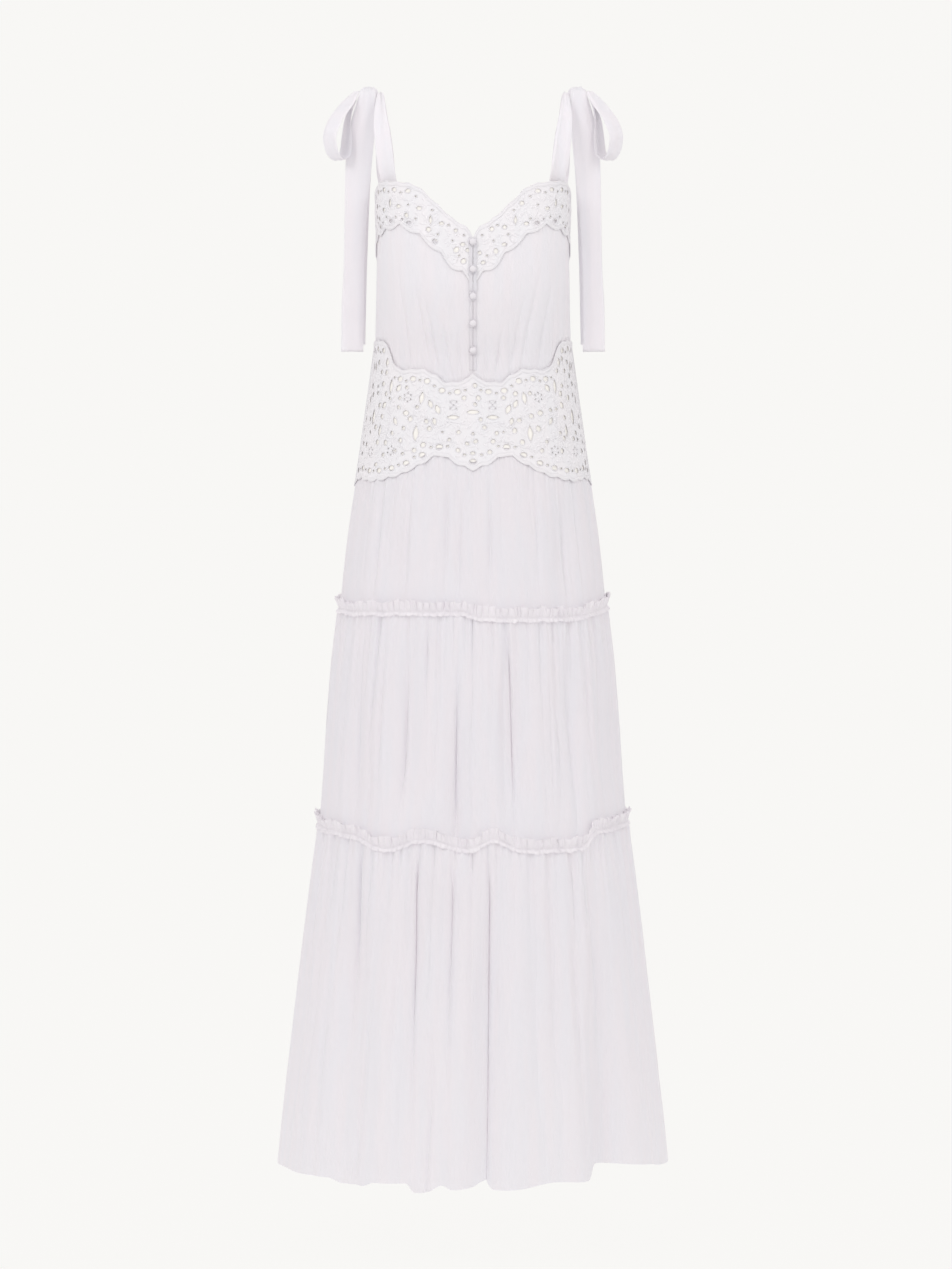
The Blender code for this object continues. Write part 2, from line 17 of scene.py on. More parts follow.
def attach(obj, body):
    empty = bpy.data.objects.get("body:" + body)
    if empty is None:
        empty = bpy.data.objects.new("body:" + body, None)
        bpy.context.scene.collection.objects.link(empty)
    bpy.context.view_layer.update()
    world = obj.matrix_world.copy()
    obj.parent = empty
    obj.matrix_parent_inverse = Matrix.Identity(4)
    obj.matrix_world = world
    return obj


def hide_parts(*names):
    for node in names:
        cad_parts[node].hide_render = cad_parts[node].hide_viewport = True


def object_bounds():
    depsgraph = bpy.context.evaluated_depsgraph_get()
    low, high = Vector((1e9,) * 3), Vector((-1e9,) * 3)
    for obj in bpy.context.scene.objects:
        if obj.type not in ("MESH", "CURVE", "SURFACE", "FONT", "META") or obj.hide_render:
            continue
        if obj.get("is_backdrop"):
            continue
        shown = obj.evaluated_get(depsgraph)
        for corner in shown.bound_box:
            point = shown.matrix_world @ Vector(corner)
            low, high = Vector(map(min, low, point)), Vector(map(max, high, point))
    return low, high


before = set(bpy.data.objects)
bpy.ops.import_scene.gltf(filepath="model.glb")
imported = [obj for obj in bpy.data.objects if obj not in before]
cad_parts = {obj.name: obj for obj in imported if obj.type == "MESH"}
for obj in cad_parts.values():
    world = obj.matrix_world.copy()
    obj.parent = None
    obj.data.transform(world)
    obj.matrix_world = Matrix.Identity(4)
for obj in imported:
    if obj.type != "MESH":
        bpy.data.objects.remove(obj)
cad_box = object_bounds()

# ---------------------------------------------------------------- driving dimensions
CLOTH = 0.0005
LACE = 0.0006
LINING_UNDER_LACE = 0.0011
LACE_LIFT = 0.0016
OVERLAP = 0.008
TUCK = 0.0008
LOWEST = -1.446
FRILL_ABOVE = 0.0150
FRILL_BELOW = 0.0045
SCALLOP_PITCH = 12.0
SCALLOP_DROP = 0.006
PLACKET_WIDTH = 0.005
PLACKET_TOP = -0.1915
PLACKET_BOTTOM = -0.3665
BUTTON_RADIUS = 0.0047
BUTTON_TOP = -0.1970
BUTTON_SPACING = 0.0358
BUTTONS = 5
NECK_RADIUS = 0.130
YOKE_RADIUS = 0.140

# Girth at each height: half the width, how far the front and back stand from the side line, and how square
# the section is (2 is an ellipse).
Section = collections.namedtuple("Section", "z half_width front back power")
SECTIONS = (
    Section(-0.100, 0.1285, 0.092, 0.084, 3.2),
    Section(-0.150, 0.1295, 0.103, 0.092, 3.1),
    Section(-0.190, 0.1285, 0.111, 0.096, 2.9),
    Section(-0.250, 0.1295, 0.116, 0.098, 2.6),
    Section(-0.310, 0.1305, 0.107, 0.094, 2.4),
    Section(-0.350, 0.1320, 0.099, 0.092, 2.3),
    Section(-0.395, 0.1380, 0.102, 0.098, 2.3),
    Section(-0.455, 0.1475, 0.112, 0.112, 2.2),
    Section(-0.515, 0.1570, 0.124, 0.126, 2.2),
    Section(-0.595, 0.1690, 0.138, 0.141, 2.2),
    Section(-0.680, 0.1790, 0.149, 0.152, 2.2),
    Section(-0.760, 0.1900, 0.160, 0.164, 2.2),
    Section(-0.840, 0.1970, 0.170, 0.174, 2.2),
    Section(-0.920, 0.2025, 0.179, 0.182, 2.2),
    Section(-0.985, 0.2090, 0.187, 0.190, 2.2),
    Section(-1.040, 0.2170, 0.195, 0.198, 2.2),
    Section(-1.160, 0.2330, 0.209, 0.213, 2.2),
    Section(-1.300, 0.2500, 0.222, 0.227, 2.2),
    Section(-1.450, 0.2670, 0.232, 0.238, 2.2),
)

# The largest folds: where each runs at its top and bottom, how wide it is, and how far it sinks in. It
# grows from z_top to z_deep and fades out again at z_end.
Fold = collections.namedtuple("Fold", "angle_top angle_end width depth z_top z_deep z_end")
FOLDS = (
    # bodice, gathers that fan up from the yoke
    Fold(-30, -20, 6, 0.0030, -0.255, -0.340, -0.390),
    Fold(28, 19, 6, 0.0030, -0.255, -0.335, -0.390),
    Fold(-150, -158, 7, 0.0025, -0.265, -0.340, -0.390),
    Fold(146, 155, 7, 0.0025, -0.265, -0.340, -0.390),
    # tier 1
    Fold(-10, -9, 7, 0.0060, -0.500, -0.620, -0.720),
    Fold(8, 7, 6, 0.0050, -0.505, -0.640, -0.730),
    Fold(46, 43, 7, 0.0060, -0.515, -0.600, -0.730),
    Fold(-38, -36, 7, 0.0040, -0.515, -0.610, -0.730),
    Fold(-165, -163, 8, 0.0060, -0.515, -0.620, -0.730),
    Fold(150, 152, 8, 0.0060, -0.515, -0.630, -0.730),
    Fold(-128, -126, 8, 0.0050, -0.515, -0.620, -0.730),
    Fold(118, 117, 7, 0.0040, -0.515, -0.600, -0.730),
    # tier 2
    Fold(-25, -24, 6, 0.0080, -0.690, -0.860, -1.040),
    Fold(-50, -48, 7, 0.0060, -0.690, -0.900, -1.030),
    Fold(-6, -6, 5, 0.0110, -0.720, -0.950, -1.060),
    Fold(14, 15, 5, 0.0120, -0.690, -0.850, -1.030),
    Fold(38, 41, 8, 0.0080, -0.690, -0.840, -1.010),
    Fold(60, 64, 8, 0.0060, -0.700, -0.880, -1.040),
    Fold(-155, -157, 7, 0.0120, -0.690, -0.900, -1.040),
    Fold(-122, -120, 8, 0.0080, -0.690, -0.860, -1.040),
    Fold(172, 173, 6, 0.0110, -0.700, -0.880, -1.040),
    Fold(140, 137, 8, 0.0120, -0.690, -0.880, -1.040),
    Fold(112, 110, 7, 0.0070, -0.690, -0.870, -1.040),
    # tier 3
    Fold(-44, -39, 8, 0.0140, -0.985, -1.180, -2.200),
    Fold(-19, -19, 5, 0.0130, -0.980, -1.150, -2.600),
    Fold(-8, -11, 5, 0.0130, -0.985, -1.100, -2.200),
    Fold(5, 3, 5, 0.0190, -0.985, -1.200, -2.600),
    Fold(24, 26, 9, 0.0090, -1.000, -1.300, -2.600),
    Fold(44, 43, 7, 0.0380, -1.000, -1.560, -2.600),
    Fold(-70, -72, 8, 0.0060, -1.000, -1.300, -2.600),
    Fold(72, 76, 9, 0.0080, -1.000, -1.400, -2.600),
    Fold(-104, -106, 8, 0.0110, -0.990, -1.200, -2.400),
    Fold(-135, -138, 8, 0.0180, -0.985, -1.220, -2.400),
    Fold(-163, -161, 7, 0.0200, -0.985, -1.220, -2.400),
    Fold(176, 174, 7, 0.0170, -0.985, -1.180, -2.400),
    Fold(152, 150, 7, 0.0200, -0.990, -1.250, -2.400),
    Fold(122, 124, 9, 0.0170, -0.990, -1.240, -2.400),
)

# Sharper creases in the same cloth, which only this model has. roll is how far one lip of the crease leans
# over the other, in degrees round the body.
Crease = collections.namedtuple("Crease", "angle_top angle_end width depth roll z_top z_deep z_end")
CREASES = (
    # bodice, fanning up from the yoke: the wearer's right front, then the left
    Crease(-37, -23, 1.6, 0.0022, 0.5, -0.215, -0.330, -0.400),
    Crease(-30, -17, 1.2, 0.0022, -0.4, -0.250, -0.335, -0.400),
    Crease(-20, -10, 1.3, 0.0026, 0.5, -0.285, -0.345, -0.400),
    Crease(-46, -36, 1.6, 0.0018, 0.3, -0.215, -0.320, -0.390),
    Crease(-9, -6, 1.1, 0.0018, -0.3, -0.300, -0.350, -0.400),
    Crease(42, 25, 1.7, 0.0024, -0.5, -0.210, -0.330, -0.400),
    Crease(31, 19, 1.3, 0.0022, 0.4, -0.255, -0.335, -0.400),
    Crease(19, 11, 1.2, 0.0024, -0.4, -0.290, -0.345, -0.400),
    Crease(52, 37, 1.7, 0.0020, -0.4, -0.215, -0.320, -0.385),
    Crease(8, 6, 1.0, 0.0016, 0.3, -0.310, -0.350, -0.400),
    Crease(-160, -168, 1.6, 0.0022, 0.4, -0.270, -0.345, -0.400),
    Crease(-140, -152, 1.7, 0.0020, 0.3, -0.265, -0.335, -0.400),
    Crease(152, 164, 1.6, 0.0024, -0.4, -0.268, -0.340, -0.400),
    Crease(135, 146, 1.8, 0.0020, -0.3, -0.262, -0.335, -0.400),
    Crease(176, 178, 1.4, 0.0018, 0.3, -0.285, -0.345, -0.400),
    # tier 1
    Crease(-13, -12, 1.2, 0.0031, 0.6, -0.470, -0.560, -0.710),
    Crease(-5, -6, 0.9, 0.0024, -0.5, -0.470, -0.600, -0.720),
    Crease(8, 7, 1.0, 0.0028, 0.5, -0.490, -0.580, -0.705),
    Crease(46, 44, 1.4, 0.0035, -0.7, -0.500, -0.600, -0.720),
    Crease(30, 29, 1.1, 0.0021, 0.4, -0.490, -0.570, -0.700),
    Crease(-31, -30, 1.2, 0.0024, 0.5, -0.490, -0.590, -0.710),
    Crease(-47, -46, 1.2, 0.0021, 0.4, -0.500, -0.570, -0.700),
    Crease(160, 161, 1.3, 0.0031, 0.5, -0.500, -0.600, -0.715),
    Crease(-148, -146, 1.3, 0.0031, -0.5, -0.500, -0.600, -0.715),
    Crease(-170, -171, 1.0, 0.0028, 0.5, -0.500, -0.580, -0.715),
    Crease(122, 121, 1.3, 0.0024, -0.5, -0.500, -0.590, -0.715),
    # tier 2
    Crease(-27, -28, 1.3, 0.0052, 1.0, -0.700, -0.840, -1.000),
    Crease(-19, -19, 0.8, 0.0033, 0.6, -0.690, -0.740, -0.850),
    Crease(-5.5, -6.3, 1.1, 0.0067, -1.2, -0.700, -0.880, -1.050),
    Crease(13.8, 15.8, 0.9, 0.0077, 1.5, -0.680, -0.790, -1.040),
    Crease(39, 43, 2.0, 0.0039, -0.8, -0.690, -0.800, -1.000),
    Crease(31, 31, 0.9, 0.0023, 0.4, -0.700, -0.860, -1.000),
    Crease(-37, -38, 1.0, 0.0026, 0.5, -0.700, -0.830, -0.990),
    Crease(-50, -49, 1.3, 0.0033, 0.6, -0.690, -0.880, -1.000),
    Crease(50, 52, 1.3, 0.0033, -0.6, -0.690, -0.800, -1.000),
    Crease(68, 71, 1.7, 0.0033, -0.7, -0.700, -0.850, -1.000),
    Crease(165, 166, 1.1, 0.0054, 1.0, -0.690, -0.860, -1.030),
    Crease(-172, -173, 1.0, 0.0045, -0.9, -0.720, -0.900, -1.040),
    Crease(-150, -151, 1.3, 0.0059, 1.0, -0.690, -0.840, -1.020),
    Crease(142, 140, 1.4, 0.0052, -0.9, -0.700, -0.850, -1.020),
    Crease(-118, -118, 1.4, 0.0039, 0.7, -0.690, -0.850, -1.010),
    Crease(113, 112, 1.4, 0.0039, -0.7, -0.700, -0.860, -1.010),
    # tier 3
    Crease(-44, -42, 1.2, 0.0060, 0.9, -0.985, -1.030, -1.260),
    Crease(-19.4, -18.5, 0.9, 0.0067, -1.2, -0.985, -1.060, -1.480),
    Crease(-7.5, -9.0, 1.1, 0.0066, 1.1, -0.985, -1.060, -1.420),
    Crease(5.6, 3.4, 1.0, 0.0070, 1.3, -0.985, -1.080, -2.200),
    Crease(-25, -27, 1.5, 0.0033, 0.6, -1.010, -1.180, -1.500),
    Crease(26, 27, 1.9, 0.0033, 0.6, -0.990, -1.100, -1.450),
    Crease(43, 47, 1.9, 0.0046, -1.0, -0.990, -1.060, -1.500),
    Crease(34, 36, 1.4, 0.0026, -0.5, -1.010, -1.200, -1.600),
    Crease(-55, -52, 1.7, 0.0033, 0.6, -1.010, -1.250, -1.600),
    Crease(-33, -36, 1.4, 0.0033, -0.6, -1.050, -1.300, -1.900),
    Crease(-12, -14, 1.0, 0.0039, 0.6, -1.200, -1.380, -1.900),
    Crease(63, 66, 2.0, 0.0033, -0.6, -1.000, -1.200, -1.700),
    Crease(-163, -162, 1.1, 0.0081, 1.3, -0.985, -1.080, -1.900),
    Crease(-138, -140, 1.4, 0.0059, -1.0, -0.985, -1.080, -1.700),
    Crease(-180, -178, 1.2, 0.0063, -1.0, -0.985, -1.060, -1.600),
    Crease(155, 153, 1.2, 0.0077, 1.3, -0.985, -1.090, -1.900),
    Crease(128, 129, 1.5, 0.0054, -1.0, -0.985, -1.070, -1.600),
    Crease(106, 108, 1.7, 0.0046, 0.8, -0.990, -1.080, -1.500),
    Crease(-112, -114, 1.7, 0.0052, 0.8, -0.990, -1.080, -1.600),
)

# Edges that run round the body, each row an angle and a height.
Edge = collections.namedtuple("Edge", "angle z")
NECK_UPPER_FRONT = (
    Edge(0, -0.1905),
    Edge(4, -0.1770),
    Edge(11, -0.1670),
    Edge(19, -0.1500),
    Edge(25, -0.1360),
    Edge(31, -0.1230),
    Edge(37, -0.1180),
    Edge(44, -0.1160),
    Edge(58, -0.1150),
    Edge(68, -0.1230),
    Edge(78, -0.1290),
    Edge(90, -0.1340),
)
NECK_UPPER_BACK = (
    Edge(90, -0.1340),
    Edge(104, -0.1420),
    Edge(112, -0.1390),
    Edge(136, -0.1400),
    Edge(148, -0.1600),
    Edge(162, -0.1820),
    Edge(180, -0.1930),
)
NECK_LOWER_FRONT = (
    Edge(0, -0.2490),
    Edge(4, -0.2380),
    Edge(13, -0.2240),
    Edge(20, -0.2060),
    Edge(28, -0.1900),
    Edge(34, -0.1790),
    Edge(43, -0.1720),
    Edge(53, -0.1770),
    Edge(70, -0.1880),
    Edge(90, -0.2050),
)
NECK_LOWER_BACK = (
    Edge(90, -0.2050),
    Edge(115, -0.2200),
    Edge(145, -0.2420),
    Edge(180, -0.2560),
)
YOKE_UPPER = (
    Edge(0, -0.3690),
    Edge(5, -0.3790),
    Edge(14, -0.3820),
    Edge(22, -0.3710),
    Edge(30, -0.3640),
    Edge(42, -0.3650),
    Edge(49, -0.3560),
    Edge(57, -0.3300),
    Edge(66, -0.3260),
    Edge(90, -0.3300),
)
YOKE_LOWER = (
    Edge(0, -0.4960),
    Edge(6, -0.4900),
    Edge(17, -0.4770),
    Edge(27, -0.4900),
    Edge(40, -0.5050),
    Edge(58, -0.5120),
    Edge(68, -0.5090),
    Edge(90, -0.5200),
)
SEAM_1 = (
    Edge(-180, -0.690),
    Edge(-120, -0.684),
    Edge(-60, -0.687),
    Edge(-5, -0.684),
    Edge(3, -0.692),
    Edge(35, -0.693),
    Edge(90, -0.682),
    Edge(140, -0.692),
    Edge(180, -0.690),
)
SEAM_2 = (
    Edge(-180, -0.985),
    Edge(-150, -0.994),
    Edge(-120, -0.982),
    Edge(-90, -0.977),
    Edge(-48, -0.981),
    Edge(-32, -0.996),
    Edge(-18, -0.982),
    Edge(-2, -0.994),
    Edge(8, -0.982),
    Edge(18, -0.996),
    Edge(40, -0.996),
    Edge(50, -0.976),
    Edge(90, -0.972),
    Edge(125, -0.992),
    Edge(150, -0.980),
    Edge(180, -0.985),
)
HEM_LINE = (
    Edge(-180, -1.440),
    Edge(-158, -1.432),
    Edge(-140, -1.441),
    Edge(-118, -1.434),
    Edge(-90, -1.439),
    Edge(-76, -1.437),
    Edge(-46, -1.434),
    Edge(-41, -1.440),
    Edge(-33, -1.440),
    Edge(-29, -1.434),
    Edge(-20, -1.434),
    Edge(-17, -1.446),
    Edge(-13, -1.444),
    Edge(-9, -1.435),
    Edge(-6, -1.440),
    Edge(0, -1.437),
    Edge(3, -1.429),
    Edge(6, -1.441),
    Edge(12, -1.440),
    Edge(24, -1.433),
    Edge(36, -1.436),
    Edge(42, -1.417),
    Edge(60, -1.424),
    Edge(78, -1.436),
    Edge(90, -1.439),
    Edge(120, -1.433),
    Edge(142, -1.441),
    Edge(160, -1.433),
    Edge(180, -1.440),
)

# Bands of cloth that hang or stand free, on the wearer's left side: a point of the centre line, the width
# there, which way the width runs (degrees from +X towards +Y) and how far the middle stands out.
Band = collections.namedtuple("Band", "x y z width facing crown")
STRAP_ANGLE = 54.0
STRAP_INSET = 0.0102
STRAP_WIDTH = 0.032
STRAP_CROWN = 0.0050
STRAP_FRONT_REST = (
    Band(0.1155, -0.0570, -0.095, 0.027, 38, 0.0020),
    Band(0.1205, -0.0470, -0.058, 0.023, 24, 0.0015),
    Band(0.1240, -0.0310, -0.022, 0.016, 10, 0.0010),
    Band(0.1236, -0.0130, 0.0005, 0.009, 0, 0.0005),
    Band(0.1250, -0.0088, 0.0045, 0.007, 0, 0.0005),
)
STRAP_BACK_REST = (
    Band(0.1180, 0.0520, -0.098, 0.029, -34, -0.0020),
    Band(0.1205, 0.0440, -0.058, 0.023, -24, -0.0015),
    Band(0.1240, 0.0300, -0.022, 0.016, -10, -0.0010),
    Band(0.1236, 0.0130, 0.0005, 0.009, 0, -0.0005),
    Band(0.1250, 0.0088, 0.0045, 0.007, 0, -0.0005),
)
LOOP = (
    Band(0.1560, -0.0023, 0.0060, 0.012, 50, 0.0005),
    Band(0.1635, -0.0086, -0.0035, 0.024, 50, 0.0010),
    Band(0.1730, -0.0166, -0.0165, 0.032, 50, 0.0010),
    Band(0.1850, -0.0267, -0.0350, 0.032, 50, 0.0015),
    Band(0.1915, -0.0321, -0.0560, 0.029, 50, 0.0015),
    Band(0.1885, -0.0296, -0.0745, 0.028, 50, 0.0010),
    Band(0.1800, -0.0225, -0.0850, 0.026, 50, 0.0010),
    Band(0.1715, -0.0153, -0.0780, 0.025, 50, 0.0010),
    Band(0.1690, -0.0132, -0.0580, 0.023, 50, 0.0010),
    Band(0.1680, -0.0124, -0.0370, 0.017, 50, 0.0010),
    Band(0.1645, -0.0095, -0.0190, 0.011, 50, 0.0010),
    Band(0.1590, -0.0048, -0.0045, 0.008, 50, 0.0005),
)
TAIL_FRONT = (
    Band(0.1405, -0.0105, 0.0050, 0.021, 0, 0.0015),
    Band(0.1420, -0.0120, -0.0060, 0.025, 0, 0.0025),
    Band(0.1465, -0.0120, -0.0330, 0.032, 2, 0.0035),
    Band(0.1505, -0.0110, -0.0600, 0.036, 4, 0.0030),
    Band(0.1535, -0.0100, -0.0950, 0.035, 5, 0.0030),
    Band(0.1575, -0.0080, -0.1600, 0.030, 8, 0.0030),
    Band(0.1600, -0.0060, -0.2300, 0.028, 10, 0.0030),
    Band(0.1620, -0.0050, -0.2900, 0.030, 8, 0.0025),
    Band(0.1625, -0.0050, -0.3420, 0.030, 6, 0.0020),
)
TAIL_BACK = (
    Band(0.1400, 0.0120, -0.0050, 0.014, 0, -0.0010),
    Band(0.1435, 0.0160, -0.0300, 0.022, -5, -0.0015),
    Band(0.1485, 0.0190, -0.0580, 0.027, -5, -0.0020),
    Band(0.1515, 0.0220, -0.0950, 0.029, -5, -0.0025),
    Band(0.1545, 0.0240, -0.1600, 0.028, -8, -0.0030),
    Band(0.1570, 0.0250, -0.2300, 0.028, -8, -0.0030),
    Band(0.1590, 0.0250, -0.2900, 0.029, -6, -0.0025),
    Band(0.1600, 0.0250, -0.3320, 0.029, -4, -0.0020),
)
KNOT_CENTRE = (0.1395, 0.0, 0.0040)
KNOT_RADIUS = 0.0085
KNOT_HALF_WIDTH = 0.0125


# ---------------------------------------------------------------- camera, lights and floor
CAMERA_PLACE = (0.004, -6.5, -0.338)
CAMERA_TARGET = (0.004, 0.0, -0.723)
PICTURE_HEIGHT = 1.713
SENSOR = 36.0
STUDIO = (0.939, 0.931, 0.913, 1.0)
FLOOR_DROP = 0.10


def add_camera():
    data = bpy.data.cameras.new("camera")
    camera = bpy.data.objects.new("camera", data)
    bpy.context.scene.collection.objects.link(camera)
    aim = Vector(CAMERA_TARGET) - Vector(CAMERA_PLACE)
    camera.location = CAMERA_PLACE
    camera.rotation_euler = aim.to_track_quat("-Z", "Y").to_euler()
    data.sensor_width = SENSOR
    data.lens = SENSOR * aim.length / PICTURE_HEIGHT
    data.clip_end = 100.0
    bpy.context.scene.camera = camera


def add_area_light(name, place, target, size, power):
    data = bpy.data.lights.new(name, "AREA")
    data.shape = "SQUARE"
    data.size = size
    data.energy = power
    light = bpy.data.objects.new(name, data)
    light.location = place
    light.rotation_euler = (Vector(target) - Vector(place)).to_track_quat("-Z", "Y").to_euler()
    bpy.context.scene.collection.objects.link(light)


def add_studio():
    world = bpy.data.worlds.new("studio")
    bpy.context.scene.world = world
    world.use_nodes = True
    background = world.node_tree.nodes["Background"]
    background.inputs["Color"].default_value = STUDIO
    background.inputs["Strength"].default_value = 1.0
    add_area_light("key", (-1.5, -2.2, 1.3), (0.0, 0.0, -0.2), 0.9, 17.0)
    add_area_light("fill", (1.6, -2.2, 1.3), (0.0, 0.0, -0.2), 1.4, 12.0)
    bpy.ops.mesh.primitive_plane_add(size=60.0, location=(0.0, 0.0, LOWEST - FLOOR_DROP))
    floor = bpy.context.object
    floor.name = "floor"
    material = bpy.data.materials.new("floor")
    material.use_nodes = True
    shader = material.node_tree.nodes["Principled BSDF"]
    shader.inputs["Base Color"].default_value = (0.02, 0.02, 0.02, 1.0)
    shader.inputs["Roughness"].default_value = 1.0
    shader.inputs["Specular IOR Level"].default_value = 0.0
    shader.inputs["Emission Color"].default_value = STUDIO
    shader.inputs["Emission Strength"].default_value = 0.98
    floor.data.materials.append(material)
    floor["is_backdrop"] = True
    scene = bpy.context.scene
    scene.view_settings.view_transform = "Standard"
    scene.view_settings.look = "None"


# ---------------------------------------------------------------- materials
def link(tree, source, output, target, socket):
    tree.links.new(source.outputs[output], target.inputs[socket])


def cloth_material(name, color, shade, crinkle, weave_size, sheer=0.30, roughness=0.92, sheen=0.12):
    """Matt sheer cotton: two close shades in long soft streaks, with upright crinkles and a woven ground in
    the bump. Part of the light passes through the cloth, warmed a little on its way."""
    material = bpy.data.materials.new(name)
    material.use_nodes = True
    tree = material.node_tree
    shader = tree.nodes["Principled BSDF"]
    shader.inputs["Roughness"].default_value = roughness
    shader.inputs["Specular IOR Level"].default_value = 0.25
    shader.inputs["Sheen Weight"].default_value = sheen
    shader.inputs["Sheen Roughness"].default_value = 0.5
    place = tree.nodes.new("ShaderNodeTexCoord")
    streaks = tree.nodes.new("ShaderNodeMapping")
    streaks.inputs["Scale"].default_value = (55.0, 55.0, 5.0)
    link(tree, place, "Object", streaks, "Vector")
    patches = tree.nodes.new("ShaderNodeTexNoise")
    patches.inputs["Scale"].default_value = 1.0
    patches.inputs["Detail"].default_value = 3.0
    link(tree, streaks, "Vector", patches, "Vector")
    shades = tree.nodes.new("ShaderNodeValToRGB")
    shades.color_ramp.elements[0].position = 0.38
    shades.color_ramp.elements[0].color = (*shade, 1.0)
    shades.color_ramp.elements[1].position = 0.62
    shades.color_ramp.elements[1].color = (*color, 1.0)
    link(tree, patches, "Fac", shades, "Fac")
    link(tree, shades, "Color", shader, "Base Color")
    stretch = tree.nodes.new("ShaderNodeMapping")
    stretch.inputs["Scale"].default_value = (430.0, 430.0, 38.0)
    link(tree, place, "Object", stretch, "Vector")
    crinkles = tree.nodes.new("ShaderNodeTexNoise")
    crinkles.inputs["Scale"].default_value = 1.0
    crinkles.inputs["Detail"].default_value = 4.0
    crinkles.inputs["Roughness"].default_value = 0.6
    link(tree, stretch, "Vector", crinkles, "Vector")
    weave = tree.nodes.new("ShaderNodeTexNoise")
    weave.inputs["Scale"].default_value = 1.0 / weave_size
    weave.inputs["Detail"].default_value = 1.0
    link(tree, place, "Object", weave, "Vector")
    weave_bump = tree.nodes.new("ShaderNodeBump")
    weave_bump.inputs["Strength"].default_value = 0.5
    weave_bump.inputs["Distance"].default_value = 0.00025
    link(tree, weave, "Fac", weave_bump, "Height")
    bump = tree.nodes.new("ShaderNodeBump")
    bump.inputs["Strength"].default_value = 1.0
    bump.inputs["Distance"].default_value = crinkle
    link(tree, crinkles, "Fac", bump, "Height")
    link(tree, weave_bump, "Normal", bump, "Normal")
    link(tree, bump, "Normal", shader, "Normal")
    through = tree.nodes.new("ShaderNodeBsdfTranslucent")
    through.inputs["Color"].default_value = THROUGH_CLOTH
    link(tree, bump, "Normal", through, "Normal")
    mixed = tree.nodes.new("ShaderNodeMixShader")
    mixed.inputs["Fac"].default_value = sheer
    tree.links.new(shader.outputs["BSDF"], mixed.inputs[1])
    tree.links.new(through.outputs["BSDF"], mixed.inputs[2])
    tree.links.new(mixed.outputs["Shader"], tree.nodes["Material Output"].inputs["Surface"])
    return material


THROUGH_CLOTH = (0.92, 0.89, 0.90, 1.0)
MATERIALS = {}


def make_materials():
    lilac, blue = (0.858, 0.828, 0.872), (0.838, 0.828, 0.878)
    MATERIALS["voile"] = cloth_material("voile", lilac, blue, 0.0007, 0.0007)
    # The frills are cut from the voile and made paler here: painted light, so that the standing frills and
    # their loose threads look lit.
    MATERIALS["frill"] = cloth_material("frill", (0.905, 0.878, 0.915), lilac, 0.0003, 0.0007)
    # The straps, bows and button loops take a paler copy of the cloth: their own white with painted light on
    # top, which lifts the shade on the tails, the loop and the knot.
    lit_pale, lit_pale_blue = (0.935, 0.912, 0.950), (0.915, 0.910, 0.955)
    MATERIALS["strap_cloth"] = cloth_material("strap_cloth", lit_pale, lit_pale_blue, 0.0005, 0.0007, 0.35)
    lace, lace_shade = (0.862, 0.838, 0.870), (0.844, 0.832, 0.868)
    MATERIALS["broderie"] = cloth_material("broderie", lace, lace_shade, 0.0002, 0.0006, 0.12)
    thread, thread_shade = (0.885, 0.860, 0.892), (0.868, 0.852, 0.888)
    MATERIALS["thread"] = cloth_material("thread", thread, thread_shade, 0.0001, 0.0004, 0.15, 0.8, 0.2)
    # The lining's warm cream is its own. It is made paler than the voile as painted light, which lifts the
    # shade inside the eyelets.
    lining, lining_shade = (0.930, 0.902, 0.870), (0.915, 0.888, 0.855)
    MATERIALS["lining"] = cloth_material("lining", lining, lining_shade, 0.0002, 0.0006, 0.05)
    # The button covers are the voile darkened: painted shade for the shading on the small covered balls.
    button, button_shade = (0.780, 0.745, 0.780), (0.760, 0.735, 0.775)
    MATERIALS["covered_button"] = cloth_material("covered_button", button, button_shade, 0.0001, 0.0005, 0.05)


# ---------------------------------------------------------------- the body's surface
def smooth_step(t):
    t = np.clip(t, 0.0, 1.0)
    return t * t * (3.0 - 2.0 * t)


def curve_through(xs, ys, x):
    """A smooth curve through the rows of a table, level beyond its ends, with xs rising."""
    xs, ys = np.asarray(xs, float), np.asarray(ys, float)
    slopes = np.diff(ys) / np.diff(xs)
    before, after = slopes[:-1], slopes[1:]
    same_way = before * after > 0
    middle = np.where(same_way, 2 * before * after / np.where(same_way, before + after, 1.0), 0.0)
    tangents = np.concatenate([slopes[:1], middle, slopes[-1:]])
    x = np.clip(x, xs[0], xs[-1])
    i = np.clip(np.searchsorted(xs, x, side="right") - 1, 0, len(xs) - 2)
    width = xs[i + 1] - xs[i]
    t = (x - xs[i]) / width
    rise = ys[i + 1] - ys[i]
    start, end = tangents[i] * width, tangents[i + 1] * width
    return ys[i] + t * (start + t * (3 * rise - 2 * start - end + t * (start + end - 2 * rise)))


def section_value(name, z):
    rows = SECTIONS[::-1]
    return curve_through([row.z for row in rows], [getattr(row, name) for row in rows], z)


def edge_height(table, angle):
    return curve_through([row.angle for row in table], [row.z for row in table], angle)


def turn_between(a, b):
    """The angle from b to a, from -180 to 180 degrees."""
    return (a - b + 180.0) % 360.0 - 180.0


def strength_at(fold, z):
    growing = smooth_step((fold.z_top - z) / (fold.z_top - fold.z_deep))
    fading = smooth_step((z - fold.z_end) / (fold.z_deep - fold.z_end))
    return np.where(z > fold.z_deep, growing, fading)


def offset_from(fold, angle, z):
    """How many widths a point lies from the fold's line."""
    along = (fold.z_top - z) / (fold.z_top - max(fold.z_end, LOWEST))
    middle = fold.angle_top + (fold.angle_end - fold.angle_top) * along
    return turn_between(angle, middle) / fold.width


def fold_depth(angle, z, folds=FOLDS):
    total = np.zeros(np.broadcast(angle, z).shape)
    for fold in folds:
        total += fold.depth * strength_at(fold, z) * np.exp(-offset_from(fold, angle, z) ** 2)
    return total


